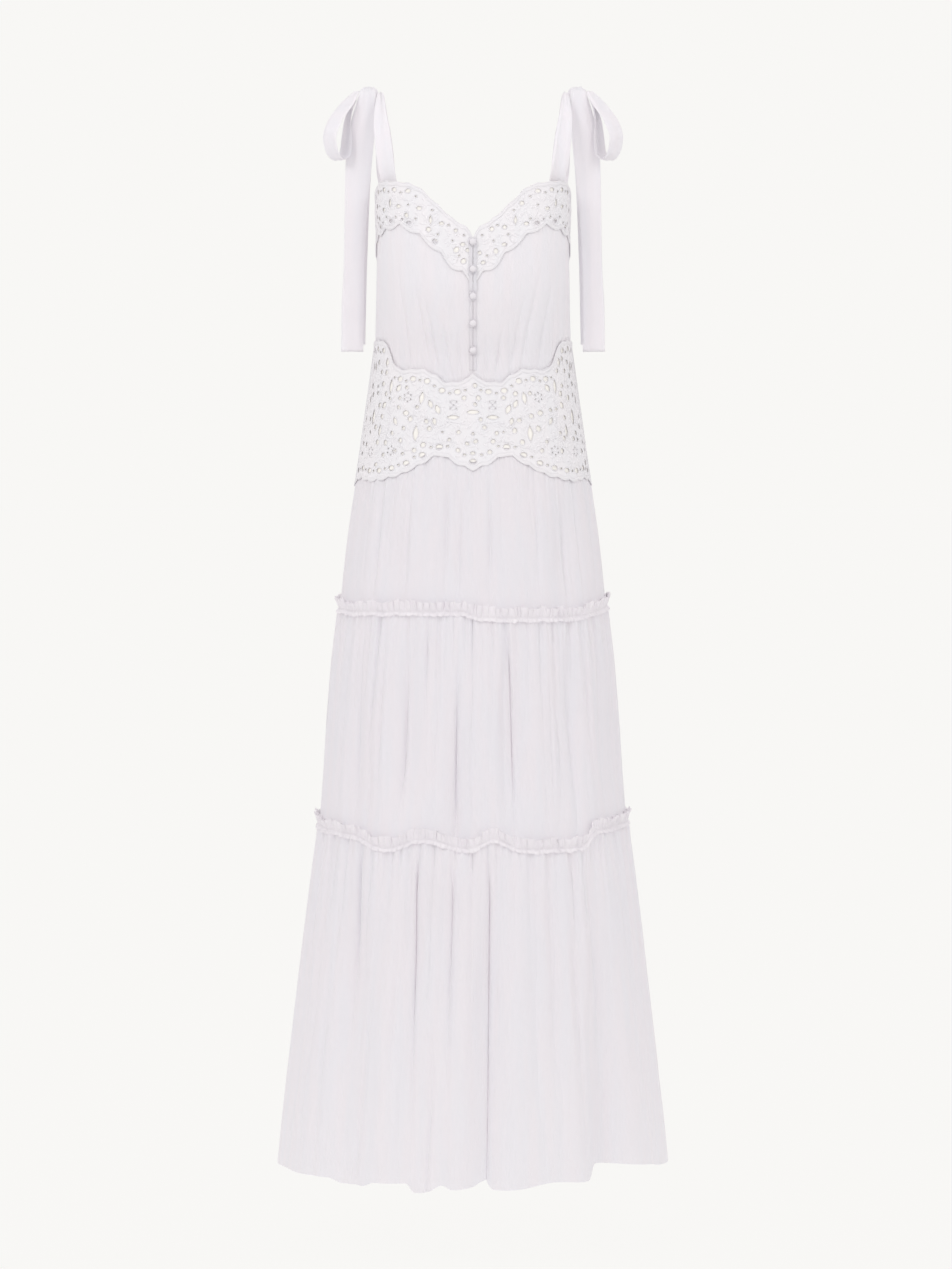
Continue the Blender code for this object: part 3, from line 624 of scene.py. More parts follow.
def crease_roll(angle, z):
    """How far the cloth is pulled sideways where one lip of a crease leans over it, in degrees."""
    total = np.zeros(np.broadcast(angle, z).shape)
    for crease in CREASES:
        offset = offset_from(crease, angle, z) + 0.7 * math.copysign(1.0, crease.roll)
        total += crease.roll * strength_at(crease, z) * np.exp(-offset**2)
    return total


def body_points(angle, z, lift=0.0):
    """Points of the body's outer surface, moved out by lift, and the level outward directions there."""
    radians = np.radians(angle)
    side, ahead = np.sin(radians), np.cos(radians)
    half_width = section_value("half_width", z)
    depth = np.where(ahead >= 0, section_value("front", z), section_value("back", z))
    power = section_value("power", z)
    reach = (np.abs(side) ** power + np.abs(ahead) ** power) ** (-1.0 / power)
    x, y = side * reach, -ahead * reach
    out_x = np.sign(x) * np.abs(x) ** (power - 1.0) / half_width
    out_y = np.sign(y) * np.abs(y) ** (power - 1.0) / depth
    length = np.hypot(out_x, out_y)
    out = np.stack([out_x / length, out_y / length, np.zeros_like(length)], axis=-1)
    base = np.stack([x * half_width, y * depth, z + 0.0 * x], axis=-1)
    return base + out * np.asarray(lift - fold_depth(angle, z))[..., None], out


# ---------------------------------------------------------------- edges
def neck_upper(angle):
    turn = np.abs(turn_between(angle, 0.0))
    return np.where(turn <= 90, edge_height(NECK_UPPER_FRONT, turn), edge_height(NECK_UPPER_BACK, turn))


def neck_lower(angle):
    turn = np.abs(turn_between(angle, 0.0))
    return np.where(turn <= 90, edge_height(NECK_LOWER_FRONT, turn), edge_height(NECK_LOWER_BACK, turn))


def yoke_upper(angle):
    turn = np.abs(turn_between(angle, 0.0))
    return edge_height(YOKE_UPPER, np.minimum(turn, 180.0 - turn))


def yoke_lower(angle):
    turn = np.abs(turn_between(angle, 0.0))
    return edge_height(YOKE_LOWER, np.minimum(turn, 180.0 - turn))


def seam_1(angle):
    return edge_height(SEAM_1, turn_between(angle, 0.0))


def seam_2(angle):
    return edge_height(SEAM_2, turn_between(angle, 0.0))


def hem(angle):
    return edge_height(HEM_LINE, turn_between(angle, 0.0))


# ---------------------------------------------------------------- gathers
class Gathers:
    """Small arched puffs of cloth between uneven valleys, fading away from the edge they are sewn to."""

    def __init__(self, seed, spacing, steepness, reach, lean=0.0, least=0.0):
        random = np.random.default_rng(seed)
        count = int(round(360.0 / spacing))
        widths = random.uniform(0.45, 1.55, count)
        self.ends = np.cumsum(widths) * 360.0 / widths.sum()
        self.widths = widths * 360.0 / widths.sum()
        self.heights = random.uniform(0.45, 1.0, count) * steepness
        self.reaches = reach * random.uniform(0.35, 1.8, count)
        self.waver = random.uniform(0.0, 2.0 * math.pi, 3)
        self.lean = lean
        self.least = least

    def height(self, angle, away, radius):
        """How far the cloth stands out, at a distance away from the gathered edge."""
        wander = np.sin(angle * 0.11 + away * 23.0 + self.waver[0]) + 0.6 * np.sin(
            angle * 0.31 - away * 41.0 + self.waver[1]
        )
        turned = (angle + self.lean * away * (1.0 + wander)) % 360.0
        cell = np.minimum(np.searchsorted(self.ends, turned), len(self.ends) - 1)
        width = self.widths[cell]
        share = 1.0 - (self.ends[cell] - turned) / width
        arch = 1.0 - (2.0 * share - 1.0) ** 2
        fade = self.least + (1.0 - self.least) / (1.0 + (away / self.reaches[cell]) ** 2)
        puff = np.radians(width) * radius * self.heights[cell]
        return puff * fade * (arch - 0.55)


def pinched(away, by):
    """Held flat at the stitches and free a little further on."""
    return 0.25 + 0.75 * smooth_step(away / by)


# ---------------------------------------------------------------- making meshes
def new_object(name, points, faces, material, smooth=True):
    mesh = bpy.data.meshes.new(name)
    mesh.from_pydata(np.asarray(points, float).reshape(-1, 3).tolist(), [], [list(f) for f in faces])
    mesh.materials.append(MATERIALS[material])
    if smooth:
        mesh.shade_smooth()
    obj = bpy.data.objects.new(name, mesh)
    bpy.context.scene.collection.objects.link(obj)
    return obj


def grid_faces(rows, columns, closed_rows=False, closed_columns=False, first=0):
    """Quads of a grid of points stored row by row."""
    row_count = rows if closed_rows else rows - 1
    column_count = columns if closed_columns else columns - 1
    row, column = np.meshgrid(np.arange(row_count), np.arange(column_count), indexing="ij")
    next_row, next_column = (row + 1) % rows, (column + 1) % columns
    corners = (row * columns + column, next_row * columns + column)
    others = (next_row * columns + next_column, row * columns + next_column)
    return first + np.stack([*corners, *others], axis=-1).reshape(-1, 4)


class Pile:
    """Many small shapes gathered into one mesh."""

    def __init__(self):
        self.points, self.faces, self.count = [], [], 0

    def add(self, points, faces):
        points = np.asarray(points, float).reshape(-1, 3)
        self.points.append(points)
        self.faces.extend((np.asarray(faces) + self.count).tolist())
        self.count += len(points)

    def tube(self, centres, outs, radius, sides=5, closed=False, flat=1.0, ends=1.0):
        """A tube along points, its section an ellipse that is flat times as tall as it is wide."""
        centres, outs = np.asarray(centres, float), np.asarray(outs, float)
        if closed:
            along = np.roll(centres, -1, axis=0) - np.roll(centres, 1, axis=0)
        else:
            along = np.gradient(centres, axis=0)
        along /= np.linalg.norm(along, axis=1, keepdims=True) + 1e-12
        across = np.cross(along, outs)
        across /= np.linalg.norm(across, axis=1, keepdims=True) + 1e-12
        up = np.cross(across, along)
        turn = np.linspace(0.0, 2.0 * math.pi, sides, endpoint=False)
        radii = np.broadcast_to(radius, len(centres)).astype(float).copy()
        if not closed:
            radii[[0, -1]] *= ends
        ring = (
            across[:, None] * np.cos(turn)[None, :, None]
            + up[:, None] * np.sin(turn)[None, :, None] * flat
        )
        points = centres[:, None] + ring * radii[:, None, None]
        faces = grid_faces(len(centres), sides, closed_rows=closed, closed_columns=True)
        self.add(points, faces)
        if not closed:
            first = self.count - len(centres) * sides
            self.faces.append(list(range(first, first + sides))[::-1])
            self.faces.append(list(range(self.count - sides, self.count)))

    def made(self, name, material):
        return new_object(name, np.concatenate(self.points), self.faces, material)


def finish_piece(obj, slot, *nodes):
    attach(obj, "root")
    if nodes:
        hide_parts(*nodes)
    return obj


def thicken(obj, thickness, offset=-1.0):
    """Applied at once, so the piece is a plain mesh."""
    modifier = obj.modifiers.new("Thickness", "SOLIDIFY")
    modifier.thickness = thickness
    modifier.offset = offset
    graph = bpy.context.evaluated_depsgraph_get()
    mesh = bpy.data.meshes.new_from_object(obj.evaluated_get(graph))
    obj.modifiers.clear()
    obj.data = mesh


# ---------------------------------------------------------------- cloth panels
# How many times coarser the meshes are made, with fewer loose threads; 1 is full detail.
QUICK = 1
FRONT_BACK = (("front", -90.0), ("back", 90.0))


def panel_surface(angles, top, bottom, shares, out_by):
    """Points of a panel between two edges, with its folds and creases, and the gathers that out_by gives."""
    angle = np.broadcast_to(angles, (len(shares), len(angles)))
    high, low = top(angles)[None, :], bottom(angles)[None, :]
    z = high + (low - high) * np.asarray(shares)[:, None]
    lift = out_by(angle, high - z, z - low) - fold_depth(angle, z, CREASES)
    points, _ = body_points(angle + crease_roll(angle, z), z, lift)
    return points


def add_panel(name, angles, columns, edges, shares, out_by):
    around = np.linspace(*angles, columns // QUICK)
    points = panel_surface(around, *edges, np.asarray(shares), out_by)
    return new_object(name, points, grid_faces(*points.shape[:2]), "voile")


def row_shares(rows, crowded):
    """Shares down a panel, closer together at its gathered top."""
    return np.linspace(0.0, 1.0, rows // QUICK) ** crowded


Tier = collections.namedtuple("Tier", "name top bottom rows crowded gathers")
TIER_COLUMNS = {"front": 460, "back": 300}


def add_tiers():
    tiers = (
        Tier("tier_1", moved(yoke_lower, OVERLAP), seam_1, 62, 1.25, tier_gathers(11, 0.150, True)),
        Tier("tier_2", seam_1, seam_2, 76, 1.5, tier_gathers(23, 0.185)),
        Tier("tier_3", seam_2, hem, 92, 1.6, tier_gathers(37, 0.225)),
    )
    for tier in tiers:
        for face, first in FRONT_BACK:
            node = f"{tier.name}_{face}"
            shares = row_shares(tier.rows, tier.crowded)
            cloth = add_panel(
                node + "_cloth",
                (first, first + 180.0),
                TIER_COLUMNS[face],
                (tier.top, tier.bottom),
                shares,
                tier.gathers,
            )
            finish_piece(cloth, "voile", node)


def moved(edge, distance):
    """The same edge, higher by distance."""
    return lambda angle: edge(angle) + distance


def tier_gathers(seed, radius, tucked=False):
    fine = Gathers(seed, 2.2, 0.30, 0.020, 6.0)
    middle = Gathers(seed + 1, 4.6, 0.20, 0.075, 4.0, 0.12)
    broad = Gathers(seed + 2, 10.5, 0.10, 0.200, 3.0, 0.35)

    def out_by(angle, below, above):
        held = pinched(below, 0.010)
        total = fine.height(angle, below, radius) + middle.height(angle, below, radius)
        total = (total + broad.height(angle, below, radius)) * held * smooth_step(above / 0.05)
        if tucked:
            total = total * 0.55 - TUCK * (1.0 - smooth_step((below - OVERLAP) / 0.004))
        return total

    return out_by


def bodice_gathers(seed, radius=0.115):
    fine = Gathers(seed, 3.0, 0.16, 0.022, 4.0)
    middle = Gathers(seed + 1, 6.5, 0.10, 0.060, -3.0, 0.05)

    def out_by(angle, below, above):
        past = above - OVERLAP
        total = fine.height(angle, np.maximum(past, 0.0), radius)
        total = total + middle.height(angle, np.maximum(past, 0.0), radius)
        held = pinched(past, 0.012) * smooth_step(below / 0.03)
        ends = (1.0 - smooth_step(past / 0.004)) + (1.0 - smooth_step((below - OVERLAP) / 0.004))
        return total * held - TUCK * ends

    return out_by


def add_bodice():
    top, bottom = moved(neck_lower, OVERLAP), moved(yoke_upper, -OVERLAP)
    panels = (
        ("bodice_front_right", -90.0, 0.0, 260, (0.26, 0.23)),
        ("bodice_front_left", 0.0, 90.0, 260, (0.26, 0.23)),
        ("bodice_back", 90.0, 270.0, 320, (0.42, 0.19)),
    )
    out_by = bodice_gathers(51)
    shares = 1.0 - row_shares(66, 1.2)[::-1]
    for name, first, last, columns, flat in panels:
        piece = add_panel(name + "_cloth", (first, last), columns, (top, bottom), shares, out_by)
        finish_piece(piece, "voile", name)


# ---------------------------------------------------------------- frills
FRILL_COLUMNS = 800
FRILL_ROWS = 14
FRILL_LEAST_LIFT = 0.0006
FRILL_STITCHED = 0.0016
THREADS = 1500
THREAD_HALF_WIDTH = 0.00011
THREAD_ROOT = 0.0004


def add_frills():
    for number, seam, radius, seed, flat in (
        (1, seam_1, 0.165, 71, (0.72, 0.022)),
        (2, seam_2, 0.198, 83, (0.86, 0.022)),
    ):
        ruffles = Gathers(seed, 2.3 if number == 1 else 1.9, 0.62, 10.0, 0.0)
        waves = Gathers(seed + 1, 6.0, 0.24, 10.0, 0.0)
        random = np.random.default_rng(seed + 2)
        for face, first in FRONT_BACK:
            angles = np.linspace(first, first + 180.0, FRILL_COLUMNS // QUICK)
            ragged = np.interp(angles, angles[::5], random.uniform(-0.0034, 0.0014, len(angles[::5])))
            ragged += np.interp(angles, angles[::23], random.uniform(-0.0030, 0.0016, len(angles[::23])))
            heights = np.linspace(-FRILL_BELOW, FRILL_ABOVE, FRILL_ROWS)
            rows = []
            for height in heights:
                up = max(height, 0.0) / FRILL_ABOVE
                down = max(-height, 0.0) / FRILL_BELOW
                open_out = 0.16 + 0.84 * up**0.8 + 0.5 * down
                ruffle = ruffles.height(angles, 0.0 * angles, radius) * open_out
                wave = waves.height(angles, 0.0 * angles, radius) * up
                lift = 0.0022 + 0.0030 * up**1.5 + 0.0010 * down + ruffle + wave
                z = seam(angles) + height + ragged * (up + 0.5 * down)
                loose = 1.0 - 0.75 * np.exp(-((height / FRILL_STITCHED) ** 2))
                lift = FRILL_LEAST_LIFT + np.maximum(lift - FRILL_LEAST_LIFT, 0.0) * loose
                lift = lift - fold_depth(angles, z, CREASES)
                lean = 0.55 * up * np.sin(angles * 2.3 + number) + 0.35 * up * np.sin(angles * 0.9)
                rows.append(body_points(angles + lean + crease_roll(angles, z), z, lift)[0])
            points = np.stack(rows)
            node = f"frill_{number}_{face}"
            # The frill takes the paler frill material, which is painted light.
            piece = new_object(node + "_cloth", points, grid_faces(*points.shape[:2])[:, ::-1], "frill")
            finish_piece(piece, "voile", node)
            frayed = add_fraying(node + "_fraying", points, random)


def add_fraying(name, points, random):
    """Loose threads along the two raw edges of a frill, each a thin bent blade."""
    pile = Pile()
    for edge, inner, longest in ((points[-1], points[-2], 0.0030), (points[0], points[1], 0.0016)):
        for _ in range(THREADS // QUICK):
            i = random.integers(1, len(edge) - 1)
            root = edge[i]
            along = edge[i + 1] - edge[i - 1]
            along /= np.linalg.norm(along)
            up = root - inner[i]
            up /= np.linalg.norm(up)
            way = up + along * random.uniform(-0.9, 0.9) + random.uniform(-0.5, 0.5, 3)
            way /= np.linalg.norm(way)
            length = longest * random.uniform(0.3, 1.0)
            bend = random.uniform(-0.35, 0.35, 3) * length
            wide = along * THREAD_HALF_WIDTH
            middle, tip = root + way * length * 0.5 + bend, root + way * length
            start = root - up * THREAD_ROOT
            blade = [start - wide, start + wide, middle + wide * 0.8, middle - wide * 0.8, tip]
            pile.add(blade, [[0, 1, 2, 3]])
            pile.faces.append([pile.count - 2, pile.count - 3, pile.count - 1])
    return finish_piece(pile.made(name, "frill"), "voile")


# ---------------------------------------------------------------- lace
Eyelet = collections.namedtuple("Eyelet", "u v wide tall tilt point")
Leaf = collections.namedtuple("Leaf", "u v long wide tilt")
CORD_STEP = 0.0014
BORDER = 0.0046
RING_RADIUS = 0.00075
EYELET_REACH = 0.012


def turned(x, y, tilt):
    tilt = np.radians(tilt)
    return x * np.cos(tilt) - y * np.sin(tilt), x * np.sin(tilt) + y * np.cos(tilt)


def outline(eyelet, grow=0.0):
    """An eyelet's outline in the lace's flat plane: round, oval, or pointed at both ends."""
    count = 10 if eyelet.tall < 0.0045 else 16
    turn = np.linspace(0.0, 2.0 * math.pi, count, endpoint=False)
    x, y = np.cos(turn), np.sin(turn)
    x = x * (1.0 - eyelet.point * np.abs(y) ** 1.5)
    x, y = turned(x * (eyelet.wide / 2 + grow), y * (eyelet.tall / 2 + grow), eyelet.tilt)
    return np.stack([eyelet.u + x, eyelet.v + y], axis=-1)


def inside_eyelet(flat, eyelet, grow=0.0):
    x, y = turned(flat[:, 0] - eyelet.u, flat[:, 1] - eyelet.v, -eyelet.tilt)
    y = y / (eyelet.tall / 2 + grow)
    limit = np.clip(1.0 - y**2, 0.0, 1.0) ** 0.5 * (1.0 - eyelet.point * np.minimum(np.abs(y), 1.0) ** 1.5)
    return (np.abs(y) < 1.0) & (np.abs(x) < limit * (eyelet.wide / 2 + grow))


class LacePanel:
    """A lace panel in its flat plane, u round the body from the centre front and v up, both in metres."""

    def __init__(self, node, angles, radius, upper, lower):
        self.node, self.radius, self.upper, self.lower = node, radius, upper, lower
        self.first, self.last = angles
        self.eyelets, self.leaves, self.cords = [], [], []

    def to_angle(self, u):
        return np.degrees(u / self.radius)

    def to_u(self, angle):
        return np.radians(angle) * self.radius

    def place(self, flat, rise=0.0):
        """Where points of the flat plane lie on the body, and which way is out there."""
        flat = np.asarray(flat)
        return body_points(self.to_angle(flat[..., 0]), flat[..., 1], LACE_LIFT + rise)

    def edge_line(self, edge, inside=0.0):
        count = int(self.to_u(self.last - self.first) / (CORD_STEP * QUICK))
        angles = np.linspace(self.first, self.last, count)
        return np.stack([self.to_u(angles), edge(angles) + inside], axis=-1)

    def within(self, flat, margin):
        angles = self.to_angle(flat[:, 0])
        below = flat[:, 1] < self.upper(angles) - margin
        above = flat[:, 1] > self.lower(angles) + margin
        return below & above & (angles > self.first + 0.5) & (angles < self.last - 0.5)

    def in_eyelets(self, flat, grow=0.0):
        """Which of the points lie in an eyelet made larger by grow."""
        inside = np.zeros(len(flat), bool)
        low, high = flat.min(axis=0) - EYELET_REACH, flat.max(axis=0) + EYELET_REACH
        for eyelet in self.eyelets:
            if low[0] < eyelet.u < high[0] and low[1] < eyelet.v < high[1]:
                away = np.abs(flat - (eyelet.u, eyelet.v)).max(axis=1)
                close = np.flatnonzero(away < EYELET_REACH)
                inside[close] |= inside_eyelet(flat[close], eyelet, grow)
        return inside

    def add_eyelet(self, u, v, wide, tall=None, tilt=0.0, point=0.0):
        """Cut only where it fits between the borders and clear of the other eyelets."""
        eyelet = Eyelet(u, v, wide, tall or wide, tilt, point)
        rim = np.concatenate([outline(eyelet, 0.0018), [[u, v]]])
        if self.within(rim, BORDER).all() and not self.in_eyelets(rim, 0.0006).any():
            self.eyelets.append(eyelet)

    def add_leaf(self, u, v, long, wide, tilt):
        self.leaves.append(Leaf(u, v, long, wide, tilt))

    def add_vine(self, stops, side, leaf_every=5):
        """A fine cord through a few stops, with small leaves on alternate sides."""
        places = np.arange(len(stops))
        at = np.linspace(0.0, len(stops) - 1.0, 16 * len(stops))
        u = curve_through(places, [side * stop[0] for stop in stops], at)
        v = curve_through(places, [stop[1] for stop in stops], at)
        self.cords.append(np.stack([self.middle + u, v], axis=-1))
        way = np.degrees(np.arctan2(np.gradient(v), np.gradient(u)))
        for k in range(leaf_every, len(at) - 2, leaf_every):
            lean = 42.0 if (k // leaf_every) % 2 else -42.0
            out_u, out_v = turned(0.0036, 0.0, way[k] + lean)
            self.add_leaf(self.middle + u[k] + out_u, v[k] + out_v, 0.0066, 0.0026, way[k] + lean)

    def spots(self, random, pitch):
        """Uneven places over the whole panel, about a pitch apart."""
        angles = np.linspace(self.first, self.last, 60)
        across = np.arange(self.to_u(self.first), self.to_u(self.last), pitch)
        up = np.arange(self.lower(angles).min(), self.upper(angles).max(), pitch * 0.87)
        for i, v in enumerate(up):
            for u in across + (i % 2) * pitch / 2:
                yield np.array([u, v]) + random.uniform(-0.25, 0.25, 2) * pitch

    def fill(self, seed):
        """Oval eyelets, then satin leaves, over whatever ground is left."""
        random = np.random.default_rng(seed)
        for u, v in self.spots(random, 0.0175):
            wide = random.uniform(0.0056, 0.0078)
            self.add_eyelet(u, v, wide, wide * random.uniform(0.75, 1.25), random.uniform(-60.0, 60.0))
        for u, v in self.spots(random, 0.0078):
            self.add_leaf(u, v, random.uniform(0.0070, 0.0105), 0.0036, random.uniform(0.0, 180.0))

    def ground(self):
        """The cloth of the lace with its eyelets cut out, as one flat triangulation."""
        top, bottom = self.edge_line(self.upper), self.edge_line(self.lower)
        boundary = np.concatenate([top, bottom[::-1]])
        points, edges = [boundary], [(i, (i + 1) % len(boundary)) for i in range(len(boundary))]
        count = len(boundary)
        for eyelet in self.eyelets:
            rim = outline(eyelet)
            points.append(rim)
            edges.extend((count + i, count + (i + 1) % len(rim)) for i in range(len(rim)))
            count += len(rim)
        step = 0.0032 * QUICK
        across = np.arange(self.to_u(self.first) + step, self.to_u(self.last), step)
        up = np.arange(boundary[:, 1].min(), boundary[:, 1].max(), step)
        grid = np.stack(np.meshgrid(across, up), axis=-1).reshape(-1, 2)
        points.append(grid[self.within(grid, 0.0012)])
        found = geometry.delaunay_2d_cdt([Vector(p) for p in np.concatenate(points)], edges, [], 0, 1e-7)
        flat = np.array([tuple(p) for p in found[0]])
        faces = np.array([face for face in found[2] if len(face) == 3])
        middle = flat[faces].mean(axis=1)
        angles = self.to_angle(middle[:, 0])
        keep = (middle[:, 1] < self.upper(angles)) & (middle[:, 1] > self.lower(angles))
        keep &= ~self.in_eyelets(middle)
        return flat, faces[keep]

    def build(self, flat_size, area):
        flat, faces = self.ground()
        points, _ = self.place(flat)
        used = np.unique(faces)
        renumbered = np.zeros(len(flat), int)
        renumbered[used] = np.arange(len(used))
        piece = new_object(self.node + "_ground", points[used], renumbered[faces], "broderie")
        finish_piece(piece, "broderie", self.node)
        self.stitching()

    def stitching(self):
        """Satin stitch: a raised ring round each eyelet, padded leaves, fine cords and the padded borders."""
        pile = Pile()
        for eyelet in self.eyelets:
            centres, outs = self.place(outline(eyelet, 0.0002), 0.0001)
            pile.tube(centres, outs, RING_RADIUS, sides=4, closed=True, flat=0.6)
        for leaf in self.leaves:
            self.add_leaf_pad(pile, leaf)
        for cord in self.cords:
            self.add_cord(pile, cord)
        for edge, way in ((self.upper, -1.0), (self.lower, 1.0)):
            for inside, radius in ((0.0002, 0.0009), (BORDER, 0.0006)):
                centres, outs = self.place(self.edge_line(edge, way * inside))
                pile.tube(centres, outs, radius, sides=4)
            shares = np.linspace(0.0, 1.0, 5)
            strip = [self.edge_line(edge, way * BORDER * share) for share in shares]
            rises = 0.0007 * (1.0 - (2.0 * shares - 1.0) ** 4) + 0.00005
            rows = [self.place(line, rise)[0] for line, rise in zip(strip, rises)]
            faces = grid_faces(len(rows), len(rows[0]))
            pile.add(rows, faces if way < 0 else faces[:, ::-1])
        return finish_piece(pile.made(self.node + "_stitching", "thread"), "broderie")

    def add_leaf_pad(self, pile, leaf):
        along, across = np.meshgrid(np.linspace(-1.0, 1.0, 7), np.linspace(-1.0, 1.0, 4), indexing="ij")
        narrow = 1.0 - np.abs(along) ** 1.7
        x, y = turned(along * leaf.long / 2, across * narrow * leaf.wide / 2, leaf.tilt)
        flat = np.stack([leaf.u + x, leaf.v + y], axis=-1)
        spots = flat.reshape(-1, 2)
        if not self.within(spots, BORDER).all():
            return
        if self.in_eyelets(spots, 0.0006).any():
            return
        points, _ = self.place(flat, 0.00005 + 0.0009 * narrow * (1.0 - across**2))
        pile.add(points, grid_faces(7, 4))

    def add_cord(self, pile, cord):
        """A cord, broken off wherever an eyelet or a border is in its way."""
        free = self.within(cord, BORDER) & ~self.in_eyelets(cord, 0.0007)
        starts = np.flatnonzero(np.diff(np.concatenate([[False], free])))
        for run in np.split(np.arange(len(cord)), starts):
            if len(run) > 4 and free[run].all():
                centres, outs = self.place(cord[run])
                pile.tube(centres, outs, 0.0006, sides=4, ends=0.4)


def scalloped(edge, pitch, drop):
    """An edge with a rounded lobe at every pitch, in degrees."""
    return lambda angle: edge(angle) - drop * np.abs(np.cos(np.pi * angle / pitch))


def add_flower(lace, u, v, size, petals, turn=0.0):
    """A ring of petal eyelets round a small one, with padded leaves between."""
    lace.add_eyelet(u, v, size * 0.20)
    for k in range(petals):
        way = turn + 360.0 * k / petals
        x, y = turned(size * 0.38, 0.0, way)
        lace.add_eyelet(u + x, v + y, size * 0.25, size * 0.40, way - 90.0, 0.35)
        between = way + 180.0 / petals
        x, y = turned(size * 0.50, 0.0, between)
        lace.add_leaf(u + x, v + y, size * 0.34, size * 0.13, between)


def add_sprig(lace, u, v, tall, wide=0.36):
    """A tall pointed eyelet with padded leaves leaning out at its foot and its head."""
    lace.add_eyelet(u, v, tall * wide, tall, 0.0, 0.7)
    for side in (-1.0, 1.0):
        for height, long in ((-0.42, 0.62), (-0.06, 0.56), (0.30, 0.46)):
            lean = 90.0 - side * 52.0
            x = side * tall * (wide / 2 + 0.26)
            lace.add_leaf(u + x, v + tall * height, tall * long, tall * 0.20, lean)


def add_rosette(lace, u, v, reach, count=6):
    """A ring of tiny round eyelets round a padded dot."""
    lace.add_leaf(u, v, 0.0034, 0.0034, 0.0)
    for k in range(count):
        x, y = turned(reach, 0.0, 90.0 + 360.0 * k / count)
        lace.add_eyelet(u + x, v + y, 0.0026)


def add_ladder(lace, u, v, size):
    """A square of drawn-thread work: short bars between two rows of narrow slots."""
    for row in range(4):
        height = v + size * (row / 3 - 0.5)
        across = np.linspace(u - size / 2, u + size / 2, 12)
        lace.cords.append(np.stack([across, np.full(12, height)], axis=-1))
        if row < 3:
            for k in range(3):
                lace.add_eyelet(u + size * (k - 1) / 3.4, height + size / 6, 0.0018, 0.0024)


def add_edge_row(lace, edge, inside, spacing, big, small):
    """Large and small eyelets by turns, following an edge from inside the lace, the same on both sides."""
    count = int(lace.to_u(lace.last - lace.first) / spacing / 2) + 1
    for k in range(-count, count + 1):
        u = lace.middle + spacing * k
        size = big if k % 2 == 0 else small
        shift = 0.0 if k % 2 == 0 else math.copysign(0.0022, inside)
        lace.add_eyelet(u, float(edge(lace.to_angle(u))) + inside + shift, size, size * 0.82)


# Where the yoke's motifs stand on its wearer's left half, out from the middle and up; the right half
# mirrors them, and the back repeats the front.
Spot = collections.namedtuple("Spot", "u v size")
Drop = collections.namedtuple("Drop", "u v wide tall tilt")
YOKE_FLOWERS = (
    Spot(0.0385, -0.4480, 0.0150),
    Spot(0.1520, -0.3880, 0.0170),
    Spot(0.1790, -0.4540, 0.0165),
)
YOKE_SPRIGS = (
    Spot(0.0735, -0.4500, 0.0200),
    Spot(0.1340, -0.4470, 0.0165),
    Spot(0.1765, -0.4060, 0.0160),
    Spot(0.2010, -0.4660, 0.0160),
)
YOKE_ROSETTES = (
    Spot(0.0890, -0.4020, 0.0056),
    Spot(0.1080, -0.4730, 0.0056),
    Spot(0.1500, -0.4750, 0.0054),
    Spot(0.2030, -0.4240, 0.0056),
)
YOKE_DROPS = (
    Drop(0.0255, -0.4285, 0.0135, 0.0052, 0.0),
    Drop(0.0460, -0.4180, 0.0060, 0.0112, 24.0),
    Drop(0.0560, -0.4110, 0.0055, 0.0100, 24.0),
    Drop(0.0495, -0.4340, 0.0050, 0.0088, 14.0),
    Drop(0.0685, -0.4030, 0.0060, 0.0140, -8.0),
    Drop(0.0900, -0.4230, 0.0080, 0.0066, 0.0),
    Drop(0.1050, -0.3900, 0.0066, 0.0095, -36.0),
    Drop(0.1060, -0.4340, 0.0055, 0.0100, 30.0),
    Drop(0.1195, -0.3880, 0.0056, 0.0170, 0.0),
    Drop(0.1340, -0.3560, 0.0062, 0.0100, 0.0),
    Drop(0.1295, -0.4130, 0.0066, 0.0092, -40.0),
    Drop(0.1545, -0.4290, 0.0070, 0.0180, 0.0),
    Drop(0.1710, -0.3620, 0.0060, 0.0120, 22.0),
    Drop(0.1830, -0.3620, 0.0060, 0.0120, -22.0),
    Drop(0.2000, -0.3820, 0.0060, 0.0160, 0.0),
)
YOKE_VINES = (
    (
        (0.010, -0.4380), (0.030, -0.4350), (0.047, -0.4430),
        (0.060, -0.4290), (0.080, -0.4260), (0.098, -0.4120),
    ),
    (
        (0.016, -0.4620), (0.036, -0.4610), (0.056, -0.4670),
        (0.085, -0.4730), (0.100, -0.4590), (0.118, -0.4560),
    ),
    ((0.110, -0.3990), (0.119, -0.4150), (0.115, -0.4340), (0.122, -0.4620), (0.139, -0.4800)),
    (
        (0.143, -0.3520), (0.147, -0.3720), (0.139, -0.4000),
        (0.143, -0.4220), (0.165, -0.4380), (0.214, -0.4420),
    ),
    ((0.160, -0.3560), (0.178, -0.3800), (0.188, -0.4000), (0.214, -0.4030)),
)


